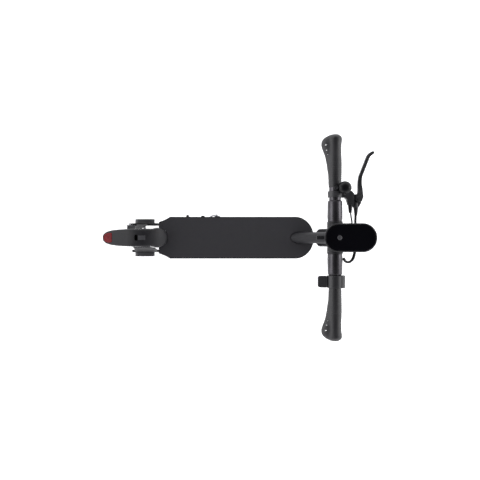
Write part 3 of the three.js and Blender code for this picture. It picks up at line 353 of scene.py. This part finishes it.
def tube(path, radius, sides):
    """A round bar along a path."""
    pts = [Vector(p) for p in path]
    side = Vector((0, 0, 1))
    loops = []
    for i, p in enumerate(pts):
        ahead = (pts[min(i + 1, len(pts) - 1)] - pts[max(i - 1, 0)]).normalized()
        side = (side - ahead * side.dot(ahead)).normalized()
        across = ahead.cross(side)
        turn = [2 * math.pi * k / sides for k in range(sides)]
        loops.append([p + side * radius * math.cos(a) + across * radius * math.sin(a) for a in turn])
    return rings(loops)


def link(name, mesh):
    obj = bpy.data.objects.new(name, mesh)
    bpy.context.scene.collection.objects.link(obj)
    return obj


def blank(name, shape, place=WORLD):
    """An object from vertices in millimetres and faces, cleaned and facing out."""
    verts, faces = shape
    mesh = bpy.data.meshes.new(name)
    mesh.from_pydata([place @ (Vector(v) * MM) for v in verts], [], faces)
    bm = bmesh.new()
    bm.from_mesh(mesh)
    bmesh.ops.remove_doubles(bm, verts=bm.verts, dist=WELD * MM)
    bmesh.ops.recalc_face_normals(bm, faces=bm.faces)
    bm.to_mesh(mesh)
    bm.free()
    return link(name, mesh)


def carve(obj, *shapes, place=WORLD):
    """Cuts the shapes out of obj."""
    for i, shape in enumerate(shapes):
        tool = blank(f"{obj.name}_tool{i}", shape, place)
        cut = obj.modifiers.new("cut", "BOOLEAN")
        cut.operation = "DIFFERENCE"
        cut.solver = "EXACT"
        cut.object = tool
        bpy.context.view_layer.update()
        graph = bpy.context.evaluated_depsgraph_get()
        mesh = bpy.data.meshes.new_from_object(obj.evaluated_get(graph))
        obj.modifiers.clear()
        obj.data = mesh
        bpy.data.objects.remove(tool)
    return obj


def soften(obj, width, steps=3, sharp=32):
    """Rounds every sharp edge of obj by width millimetres and shades it smooth."""
    bm = bmesh.new()
    bm.from_mesh(obj.data)
    bmesh.ops.remove_doubles(bm, verts=bm.verts, dist=FINE_WELD * MM)
    bmesh.ops.dissolve_limit(bm, angle_limit=math.radians(FLAT_DEG), verts=bm.verts, edges=bm.edges)
    if width:
        limit = math.radians(sharp)
        edges = [e for e in bm.edges if len(e.link_faces) == 2 and e.calc_face_angle(0) > limit]
        bmesh.ops.bevel(
            bm, geom=edges, offset=width * MM, offset_type="OFFSET", segments=steps, profile=0.5,
            affect="EDGES", clamp_overlap=True, miter_outer="ARC",
        )
    bm.to_mesh(obj.data)
    bm.free()
    return shaded(obj)


def shaded(obj, angle=38):
    """Shades obj smooth, with sharp edges above the angle in degrees."""
    obj.data.shade_smooth()
    obj.data.set_sharp_from_angle(angle=math.radians(angle))
    normals = obj.modifiers.new("normals", "WEIGHTED_NORMAL")
    normals.keep_sharp = True
    return obj


def place_piece(obj, node, stands_for=True, slot=None):
    """Gives obj its finish, and lets it ride and stand for its CAD node."""
    slot = slot or SLOT_OF[node]
    obj.data.materials.clear()
    obj.data.materials.append(MATERIALS[slot])
    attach(obj, BODY_OF[node])
    if stands_for:
        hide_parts(node)
    return obj


def piece(node, shape, place=WORLD, width=0.0, steps=3, cuts=(), name=None, **rest):
    """A shape at a place, with its cuts and its edges rounded by width, riding with its node's body."""
    obj = blank(name or f"{node}_form", shape, place)
    if cuts:
        carve(obj, *cuts, place=place)
    if width or cuts:
        soften(obj, width, steps)
    else:
        shaded(obj)
    return place_piece(obj, node, **rest)


def dressed(node, width):
    """A copy of the CAD node's mesh with clean faces and rounded edges."""
    obj = link(f"{node}_form", frame["nodes"][node].data.copy())
    place_piece(soften(obj, width), node)


def rod(radius, low, high, a=0.0, b=0.0, axis="z", sides=40):
    """A round bar from low to high along an axis, centred on (a, b)."""
    circle = arc(a, b, radius, radius, 0, 360 * (sides - 1) / sides, sides - 1)
    return slab(circle, low, high, axis)


# ---------------------------------------------------------------- wheels
# (radius, y) from the middle of the tread to the bead.
TYRE_SIDE = [(108, 0), (108, 8), (107.7, 12), (106.2, 16), (103.2, 20.5), (98, 24), (91, 25), (84.5, 23),
             (80, 19), (78, 17)]
GROOVES, GROOVE_HALF, GROOVE_DEPTH = (5.5, 12.5), 1.3, 1.5
SIPE_EVERY, SIPE_DEPTH, TYRE_RAYS = 6, 1.6, 288


def tyre(node, place):
    """A tyre with two grooves a side and short cuts across its shoulders."""
    profile = []
    for p in spline(TYRE_SIDE, 8):
        near = max(max(0, 1 - abs(p.y - g) / GROOVE_HALF) for g in GROOVES)
        profile.append((p.x - GROOVE_DEPTH * min(1, 1.6 * near), p.y))
    loop = profile[::-1] + [(r, -y) for r, y in profile[1:]]

    def sipes(k, r, y):
        across = 7 < abs(y) < 19 and r > 100 and (k + (2 if y > 0 else 0)) % SIPE_EVERY == 0
        return r - SIPE_DEPTH if across else r

    obj = blank(f"{node}_form", lathe(loop, TYRE_RAYS, sipes), place)
    place_piece(shaded(obj, 50), node)


def hub_motor():
    """The motor's drum, open on the left, and the lid that closes it."""
    shell = [
        (7, -26), (20, -26), (22, -25.6), (40, -23.6), (41, -22.8), (56, -21.2), (60, -20.6), (61.5, -19.6),
        (76.5, -16.6), (77.7, -15.4), (77.7, 15.4), (76.5, 16), (61, 16), (60, 15), (60, -14), (7, -14),
    ]
    lid = [
        (7, 16), (59.7, 16), (59.7, 18.6), (58.5, 19.6), (41, 22.8), (40, 23.6), (22, 25.6), (20, 26),
        (7, 26),
    ]
    piece("hub_motor_shell", lathe(shell, 96), FRONT_AXLE, 0.5)
    piece("hub_motor_lid", lathe(lid, 96), FRONT_AXLE, 0.5)


# ---------------------------------------------------------------- deck
DECK_HALF, DECK_REAR, DECK_REAR_HALF = 85, -331, 64
NOSE_X, NOSE_REACH = 226, 75
TAPER_X, NOTCH_X = -286, -336
PORT_X, PORT_Z = -153, 128


def deck_outline(inset, notch_radius):
    """The deck from above: a round nose, straight sides, a tapered rear and a round notch for the tyre."""
    half, nose = DECK_HALF - inset, NOSE_REACH - inset
    rear, rear_half = DECK_REAR + inset, DECK_REAR_HALF - inset
    lip = math.degrees(math.acos((rear - NOTCH_X) / notch_radius))
    out = arc(NOSE_X, 0, nose, half, -90, 90, 60)
    out.append(Vector((TAPER_X, half)))
    out += bow((TAPER_X, half), (-300, half - 11), (rear, rear_half))
    out += arc(NOTCH_X, 0, notch_radius, notch_radius, lip, -lip, 60)
    out.append(Vector((rear, -rear_half)))
    return out + bow((rear, -rear_half), (-300, 11 - half), (TAPER_X, -half))


def deck():
    """The deck's box with its notch and charging port, its bottom cover, the mat and the port's cap."""
    side = [(92, 28.5), (104, 25), (110, 18), (112, 13)]
    around = [(0, -28.5), *((r, -y) for r, y in side), *reversed(side), (0, 28.5)]
    verts, faces = lathe(around, 160)
    tyre_room = [(x + REAR_AXLE_X, y, z + AXLE_Z) for x, y, z in verts], faces
    hollow = slab(deck_outline(3, 54), 93, 149)
    port = rod(5, 77, 90, PORT_X, PORT_Z, "y")
    box = blank("deck_frame_form", slab(deck_outline(0, 36), 98.3, 152))
    soften(carve(box, hollow, tyre_room), 2.2)
    # The port is cut last, so that its rim leaves the long side face flat.
    box.modifiers.clear()
    place_piece(shaded(carve(box, port)), "deck_frame")
    piece("deck_bottom_cover", slab(deck_outline(0.6, 51), 95, 98), width=0.8)
    neck_foot = slab(arc(240, 0, 35.4, 24.2, 0, 354, 59), 150, 160)
    piece("deck_mat", slab(deck_outline(3, 39), 152.3, 155), width=0.7, cuts=[neck_foot, tyre_room])
    cap = stadium((PORT_X, PORT_Z - 4), (PORT_X, PORT_Z + 4), 7)
    piece("charge_cap", slab(cap, 85.3, 90.5, "y"), width=1.4, steps=4)


# ---------------------------------------------------------------- mudguards
GUARD_WALL = 3
GUARD_RADIUS, GUARD_TO_DEG = 132, 112
GUARD_TO = math.radians(GUARD_TO_DEG)
ARC_END_X = REAR_AXLE_X + GUARD_RADIUS * math.cos(GUARD_TO)
LAMP_X, TAIL_END_X = -510, -550
LAMP_HALF, TRAY_HALF = 18.6, 21.5
# (x ahead of the axle, half the width) and (x ahead of the axle, height of the side).
REAR_HALF = [(-155, 10), (-152.5, 13), (-149, 18.5), (-144, 23), (-126, 28.5), (-110, 31), (-93, 32.5),
             (-66, 34), (-30, 35), (58, 35.5), (73, 40), (85, 37), (97, 30), (103, 23), (107, 14)]
REAR_DROP = [(-153, 11), (-110, 15), (-40, 24), (40, 24), (90, 17), (107, 11)]
FRONT_HALF = [(-130, 28), (-124, 36), (70, 36), (78, 30)]
FRONT_DROP = [(0, 13), (1, 13)]


def guard_section(half, drop, thickness):
    """One skin of the guard's cross-section, from its left edge over the crest to its right edge."""
    c = min(7, 0.35 * half)
    w = half - thickness
    corner = [
        (w, -drop), (w, -0.5 * drop - 0.65 * c), (w, -1.3 * c - 0.5 * thickness),
        (w - 0.25 * c, -0.6 * c - 0.75 * thickness), (w - c, -0.2 * c - 0.95 * thickness),
        (0.5 * (w - c), -0.05 * c - thickness), (0, -thickness),
    ]
    side = spline(corner, 4)
    return side + [Vector((-p.x, p.y)) for p in reversed(side[:-1])]


def guard(node, place, radius, from_deg, to_deg, steps, tail, half, drop, cuts):
    """A wall swept round the wheel between two angles, then straight on for the length of its tail."""
    stations = []
    for i in range(steps + 1):
        a = math.radians(from_deg + (to_deg - from_deg) * i / steps)
        stations.append((Vector((radius * math.cos(a), 0, radius * math.sin(a))), a))
    end, a = stations[-1]
    tail_steps = 24 if tail else 0
    for i in range(1, tail_steps + 1):
        reach = tail * math.sin(i / tail_steps * math.pi / 2)
        stations.append((end + Vector((-math.sin(a), 0, math.cos(a))) * reach, a))
    halves = eased([along(half, p.x) for p, _ in stations])
    drops = eased([along(drop, p.x) for p, _ in stations])
    loops = []
    for (p, angle), h, d in zip(stations, halves, drops):
        up = Vector((math.cos(angle), 0, math.sin(angle)))
        loop = []
        for thickness, order in ((0, 1), (GUARD_WALL, -1)):
            row = [p + up * q.y + Vector((0, q.x, 0)) for q in guard_section(h, d, thickness)]
            loop += row[::order]
        loops.append(loop)
    obj = blank(f"{node}_form", rings(loops), place)
    for shapes, frame_of in cuts:
        carve(obj, *shapes, place=frame_of)
    soften(obj, 0.7, 2, 50)
    place_piece(obj, node)


def tail_reach(x):
    """How far down the tail's slope x lies."""
    return (ARC_END_X - x) / math.sin(GUARD_TO)


# The slope of the tail: X runs down it, Z stands off it.
TAIL = (
    REAR_AXLE @ Matrix.Rotation(math.pi / 2 - GUARD_TO, 4, "Y")
    @ at(-tail_reach(LAMP_X), 0, GUARD_RADIUS) @ Matrix.Rotation(math.pi, 4, "Z")
)


def tail_outline(half, grow):
    """The lamp from above: two small corners ahead and a round end behind."""
    out = [Vector((-grow, 4 - half))]
    out += bow((-grow, 4 - half), (-grow, -half), (4 - grow, -half), 6)
    out += arc(18, 0, 21 + grow, half, -90, 90, 40)
    out += [Vector((4 - grow, half))]
    out += bow((4 - grow, half), (-grow, half), (-grow, half - 4), 6)
    return out


def rear_mudguard():
    """The guard with its stowing slot, and the low pad ahead of the slot."""
    slot = stadium((-10, -6.5), (-10, 6.5), 6)
    lamp_room = slab(tail_outline(19.2, 0.4), -30, 30)
    cuts = [([slab(slot, 110, 150)], REAR_AXLE), ([lamp_room], TAIL)]
    guard("rear_mudguard", REAR_AXLE, GUARD_RADIUS, 37.5, GUARD_TO_DEG, 64, tail_reach(TAIL_END_X),
          REAR_HALF, REAR_DROP, cuts)
    pad = []
    for i in range(13):
        a = math.radians(90.2 - 11.6 * i / 12)
        up, out = Vector((math.cos(a), 0, math.sin(a))), Vector((0, 1, 0))
        corners = ((-8.5, -1.5), (-8.5, 0.9), (8.5, 0.9), (8.5, -1.5))
        pad.append([up * (GUARD_RADIUS + h) + out * w for w, h in corners])
    piece("rear_mudguard", rings(pad), REAR_AXLE, 0.6, name="rear_mudguard_pad", stands_for=False,
          slot="grey_plastic")


def tail_light():
    """The lens with a recess and a round core, over a tray that closes the guard under it."""
    recess = slab(tail_outline(12.5, -5.5), 0.2, 4)
    piece("tail_light_lens", slab(tail_outline(LAMP_HALF, 0), -9, 1.4), TAIL, 0.9, 4, cuts=[recess])
    piece("rear_mudguard", slab(tail_outline(TRAY_HALF, 1.5), -12.5, -9.5), TAIL, 0.5,
          name="rear_mudguard_lamp_tray", stands_for=False)
    core = [(0, 0), (7.6, 0), (7.2, 0.6), (5, 0.9), (0, 1)]
    piece("tail_light_lens", lathe(core, 40), TAIL @ at(24, 0, 0) @ UPRIGHT, name="tail_light_core",
          stands_for=False)


def front_mudguard():
    """The guard over the front tyre, and the boss that holds it to the fork."""
    guard("front_mudguard", FRONT_AXLE, 126, 52, 150, 80, 42, FRONT_HALF, FRONT_DROP, [])
    boss = [Vector(c) for c in ((-12, -18), (12, -18), (12, 18), (-12, 18))]
    piece("front_mudguard", slab(boss, 122, 125.7), RAKED, 0.8, name="front_mudguard_boss",
          stands_for=False)


# ---------------------------------------------------------------- handlebar, grips and display
def handlebar():
    """One tube: a thick barrel at each side of the stem, then a neck, then the part inside the grip."""
    half = [
        (15.4, 36.3), (16, 36.9), (16.4, 41), (16.8, 48), (16.6, 62), (16.3, 78), (16, 81.6), (15.4, 82.4),
        (13.6, 83.6), (13.2, 84.4), (13.2, 112.4), (12.8, 112.7), (11, 112.7), (11, 219.4), (10.4, 220),
        (0, 220),
    ]
    profile = [(r, -y) for r, y in reversed(half)] + half
    piece("handlebar", lathe(profile + [(0, 0)], 72), AT_BAR)


GRIP_START, GRIP_LENGTH, GRIP_STEPS, GRIP_RAYS = 113, 118, 118, 64
PALM_REACH = [(113, 0), (140, 0.2), (166, 3.6), (182, 7.5), (196, 13), (207, 16.5), (216, 15), (224, 9),
              (231, 2)]
GRIP_RADIUS = [(113, 13.9), (120, 14.4), (150, 15.2), (168, 15.2), (190, 14), (210, 14.4), (221, 16.2),
               (227, 15), (231, 9)]
# (y, radius) of each hole in the palm rest.
PALM_HOLES = [(209, 2.4), (197, 1.9), (187, 1.5)]


def grip(node, side):
    """A ribbed grip that runs out into a flat palm rest behind; side is 1 on the left, -1 on the right."""
    ys = [GRIP_START + i * GRIP_LENGTH / GRIP_STEPS for i in range(GRIP_STEPS + 1)]
    radii = eased([along(GRIP_RADIUS, y) for y in ys], 12)
    reaches = eased([along(PALM_REACH, y) for y in ys], 12)
    loops = []
    for y, radius, reach in zip(ys, radii, reaches):
        rib = 0.4 * max(0, math.sin((y - 118) * math.pi / 2.5)) if 120 < y < 172 else 0
        loop = []
        for k in range(GRIP_RAYS):
            a = 2 * math.pi * k / GRIP_RAYS
            back = max(0, -math.cos(a))
            r = radius + reach * back ** 8 - rib * (1 - back ** 2)
            loop.append((r * math.cos(a), side * y, r * math.sin(a)))
        loops.append(loop)
    bore = rod(11.3, *sorted((side * 100, side * 220.4)), axis="y")
    holes = [rod(r, -30, 30, -11 - 0.55 * along(PALM_REACH, y), side * y, sides=24) for y, r in PALM_HOLES]
    obj = blank(f"{node}_form", rings(loops), AT_BAR)
    carve(obj, bore, *holes, place=AT_BAR)
    place_piece(shaded(obj), node)


BUTTON_X = 11.4


def oval(inset):
    """The display from above, blunter behind than ahead."""
    back, front, half = -21.5, 90.5, 31.5
    h = half - inset
    ahead = arc(front - half + 1, 0, half - 1 - inset, h, -90, 90, 48)
    return ahead + arc(back + half - 2, 0, half - 2 - inset, h, 90, 270, 48)


def display():
    """A shallow housing, the glass set into it, and the button in the glass."""
    room = slab(oval(2.2), 1025.5, 1040)
    piece("display_housing", slab(oval(0), 1023, 1036.3), RAKED, 1.0, 3, cuts=[room])
    hole = rod(5.4, 1000, 1060, BUTTON_X)
    piece("display_glass", slab(oval(2.5), 1034.5, 1036.5), RAKED, 0.7, cuts=[hole])
    cap = [(0, 0), (5, 0), (5, 4.6), (4.7, 5.2), (4.2, 5.4), (3.8, 5.1), (3.2, 4.7), (0, 4.6)]
    piece("power_button", lathe(cap, 48), RAKED @ at(BUTTON_X, 0, 1031.5) @ UPRIGHT, slot="grey_plastic")


# ---------------------------------------------------------------- controls at the bar
BLADE_LOW, BLADE_TOP = -9.7, -1.5
BLADE_START_Y, SHAVED = 0.104, 4.4


def lever():
    """The brake lever: a flat blade from its bolt to its bent tip, cut from its outline."""
    out = [Vector((46.5, 86)), Vector((50, 81)), Vector((61, 82)), Vector((64.5, 92))]
    out += bow((64.5, 92), (62.5, 112), (61, 120))
    out += bow((61, 120), (60.5, 132), (62, 138))
    out.append(Vector((78.5, 180)))
    out += bow((78.5, 180), (80.5, 184.5), (86, 187.5))
    out += bow((86, 187.5), (90, 190), (88.5, 193.5), 6)
    out += bow((88.5, 193.5), (86, 196), (82, 193.5), 6)
    out += bow((82, 193.5), (73.5, 189), (71, 182.5))
    out.append(Vector((53.5, 138)))
    out += bow((53.5, 138), (51.5, 128), (51.5, 116))
    out.append(Vector((51.5, 101)))
    out += bow((51.5, 101), (46, 96), (46.5, 86))
    bolt = rod(2.8, -20, 5, 54.5, 90)
    obj = blank("brake_lever_form", slab(out[:-1], BLADE_LOW, BLADE_TOP), CONTROLS)
    carve(obj, bolt, place=CONTROLS)
    # The blade's front top edge is shaved to a broad slope.
    top = (CONTROLS @ Vector((0, 0, BLADE_TOP * MM))).z
    bm = bmesh.new()
    bm.from_mesh(obj.data)
    bmesh.ops.dissolve_limit(bm, angle_limit=math.radians(FLAT_DEG), verts=bm.verts, edges=bm.edges)
    front = [
        e for e in bm.edges
        if min(v.co.z for v in e.verts) > top - 1e-4
        and any(f.normal.x > 0.4 for f in e.link_faces)
        and min(v.co.y for v in e.verts) > BLADE_START_Y
    ]
    bmesh.ops.bevel(
        bm, geom=front, offset=SHAVED * MM, segments=4, profile=0.5, affect="EDGES", clamp_overlap=True
    )
    bm.to_mesh(obj.data)
    bm.free()
    place_piece(soften(obj, 1.1, 3), "brake_lever")


BELL_AT = (18.7, 110.5, 16.4)


def bell():
    """A hollow dome, open below."""
    outer = spline([(14.8, 0), (14.7, 2.4), (13.8, 6), (10.6, 10), (5.6, 12.5), (0, 13.2)], 5)
    inner = [(0, 10.6), (6, 9.4), (11, 6), (13, 2), (13.1, 0)]
    profile = [(max(0, p.x), p.y) for p in outer] + inner
    piece("bell_dome", lathe(profile, 64), CONTROLS @ at(*BELL_AT) @ UPRIGHT)


def boot(node, x, z, y0, y1, name):
    """A soft sleeve with rings, wide at its far end."""
    profile, steps = [], 40
    for i in range(steps + 1):
        t = i / steps
        rib = 0.35 * math.sin(t * 9 * 2 * math.pi) if 0.08 < t < 0.8 else 0
        profile.append((3.1 + 2.2 * t + rib, y0 + (y1 - y0) * t))
    profile += [(0, y1), (0, y0)]
    return piece(node, lathe(profile, 40), CONTROLS @ at(x, 0, z), name=name, stands_for=False)


def cable(node, route, radius, place, sleeve=None):
    """A sheathed cable held at both ends; sleeve(point) says how many times thicker it is there."""
    data = bpy.data.curves.new(f"{node}_form", "CURVE")
    data.dimensions = "3D"
    data.bevel_depth = radius * MM
    data.bevel_resolution = 5
    data.use_fill_caps = True
    points = [place @ (p * MM) for p in spline(route, 5)]
    line = data.splines.new("POLY")
    line.points.add(len(points) - 1)
    for p, q in zip(line.points, points):
        p.co = (*q, 1)
        p.radius = sleeve(q) if sleeve else 1.0
    line.use_smooth = True
    obj = bpy.data.objects.new(f"{node}_form", data)
    bpy.context.scene.collection.objects.link(obj)
    place_piece(obj, node)


# Where the brake cable wears a thicker sleeve, along Y in metres, and how much thicker.
SLEEVE_FROM, SLEEVE_TO, SLEEVE_RAMP, SLEEVE_EXTRA = -0.014, -0.053, 0.004, 0.25
BRAKE_ROUTE = [(49, 67, -9.6), (48.8, 58, -9.7), (48.2, 40, -10), (47.8, 12, -10), (47.6, -16, -9.6),
               (46, -34, -8.6), (41.5, -48, -7), (33, -55, -5), (24, -53, -3), (19.4, -46.5, -1.2)]
SENSOR_ROUTE = [(35.5, 73, -6), (35.5, 62, -6), (37.4, 48, -6.3), (39.6, 34, -6.5), (38.5, 20, -5),
                (33, 10, -3), (29, 7.2, -2.4), (26.8, 6.2, -2.2)]
REAR_ROUTE = [(65.2, 57, 35), (60, 57, 35.6), (48, 57.2, 46), (25, 57, 60), (-5, 56.4, 68), (-32, 55.6, 68),
              (-50, 55.6, 65)]


def brake_sleeve(q):
    covered = min(1, (SLEEVE_FROM - q.y) / SLEEVE_RAMP, (q.y - SLEEVE_TO) / SLEEVE_RAMP)
    return 1 + SLEEVE_EXTRA * max(0, covered)


def cables():
    """The brake cable and the sensor wire at the bar with their boots, and the cable at the rear brake."""
    brake_boot = boot("brake_cable_bar", 49, -9.6, 50, 67.7, "brake_cable_boot")
    cable("brake_cable_bar", BRAKE_ROUTE, 2.7, CONTROLS, brake_sleeve)
    sensor_boot = boot("sensor_wire", 35.5, -6, 56, 73.7, "sensor_wire_boot")
    cable("sensor_wire", SENSOR_ROUTE, 1.7, CONTROLS)
    cable("brake_cable_rear", REAR_ROUTE, 2.3, REAR_AXLE)


def throttle_housing():
    """A collar whose front runs out into a rounded switch box."""
    out = arc(0, 0, 17.6, 17.6, -43, -308, 60)
    out += bow((out[-1].x, out[-1].y), (22.7, 11), (22.7, 0), 12)
    out.append(Vector((22.7, -8)))
    out += bow((22.7, -8), (22.7, -12), (18.7, -12), 8)
    room = rod(15.2, -120, -80, axis="y", sides=64)
    piece("throttle_housing", slab(out, -112.5, -85, "y"), CONTROLS, 1.1, 4, cuts=[room])


# ---------------------------------------------------------------- smaller pieces
def axle_covers():
    """A rounded cap over each end of the rear axle, hollow where the nut is."""
    for node, cap, nut_room in (
        ("axle_cover_left", (60.3, 77), (58, 71)),
        ("axle_cover_right", (-77, -60.3), (-71, -58)),
    ):
        shape = slab(stadium((-21, 0), (24, 0), 17.5), *cap, "y")
        piece(node, shape, REAR_AXLE, 4.6, 7, cuts=[rod(13, *nut_room, axis="y")])


def kickstand():
    """A bent leg folded back under the deck's edge, its hub, and its rubber foot."""
    place = Matrix.Translation(JOINT["kickstand_turn"]["pos_m"])
    route = [(0, 0.8, 0), (-10, 0.8, -1), (-20, -2, -7), (-32, -9, -15), (-50, -13, -17.5),
             (-98, -13, -17.5), (-111, -9, -16), (-122, -3, -14)]
    hub = [(0, -2.7), (6.4, -2.7), (7, -2.1), (7, 3.2), (6.2, 4), (3.2, 4), (3, 3.4), (0, 3.4)]
    foot = [(0, -6.2), (2.4, -5.8), (4.4, -4.4), (5.7, -2.4), (6.2, 0), (5.7, 2.4), (4.4, 4.4), (2.4, 5.8),
            (0, 6.2)]
    piece("kickstand_leg", tube(spline(route, 8), 3.4, 20), place)
    piece("kickstand_leg", lathe(hub, 48), place, name="kickstand_hub", stands_for=False)
    piece("kickstand_leg", lathe(foot, 40), place @ at(*route[-1]), name="kickstand_foot",
          stands_for=False, slot="cable_rubber")


# CAD pieces that are used as they are, with their edges rounded by so many millimetres.
ROUNDING = {
    "battery_pack": 3.0, "motor_controller": 1.5, "neck_tube": 0.4, "head_tube": 0.5,
    "headset_bearing_lower": 0.4, "headset_bearing_upper": 0.4, "rear_rim": 1.2, "rear_bearing_left": 0.5,
    "rear_bearing_right": 0.5, "brake_disc": 0.3, "rear_axle": 0.5, "dropout_left": 1.0, "dropout_right": 1.0,
    "stator_and_axle": 0.5, "fork": 1.4, "fork_cover_left": 1.2, "fork_cover_right": 1.2, "fold_base": 1.6,
    "stem_foot": 1.4, "fold_pin": 0.6, "fold_latch": 1.0, "stem_tube": 0.4, "stem_head": 1.0,
    "stowing_hook": 0.8, "headlight_housing": 1.2, "headlight_lens": 1.0, "lever_bracket": 0.8,
    "bell_striker": 0.4, "throttle_paddle": 0.9, "mudguard_stay_left": 0.6,
    "mudguard_stay_right": 0.6, "brake_caliper": 1.2, "caliper_arm": 0.6, "kickstand_bracket": 1.2,
}

camera()
floor()
light()
tyre("rear_tyre", REAR_AXLE)
tyre("front_tyre", FRONT_AXLE)
hub_motor()
deck()
rear_mudguard()
tail_light()
front_mudguard()
handlebar()
grip("grip_left", 1)
grip("grip_right", -1)
display()
lever()
bell()
cables()
throttle_housing()
axle_covers()
kickstand()
for node_name, rounding in ROUNDING.items():
    dressed(node_name, rounding)
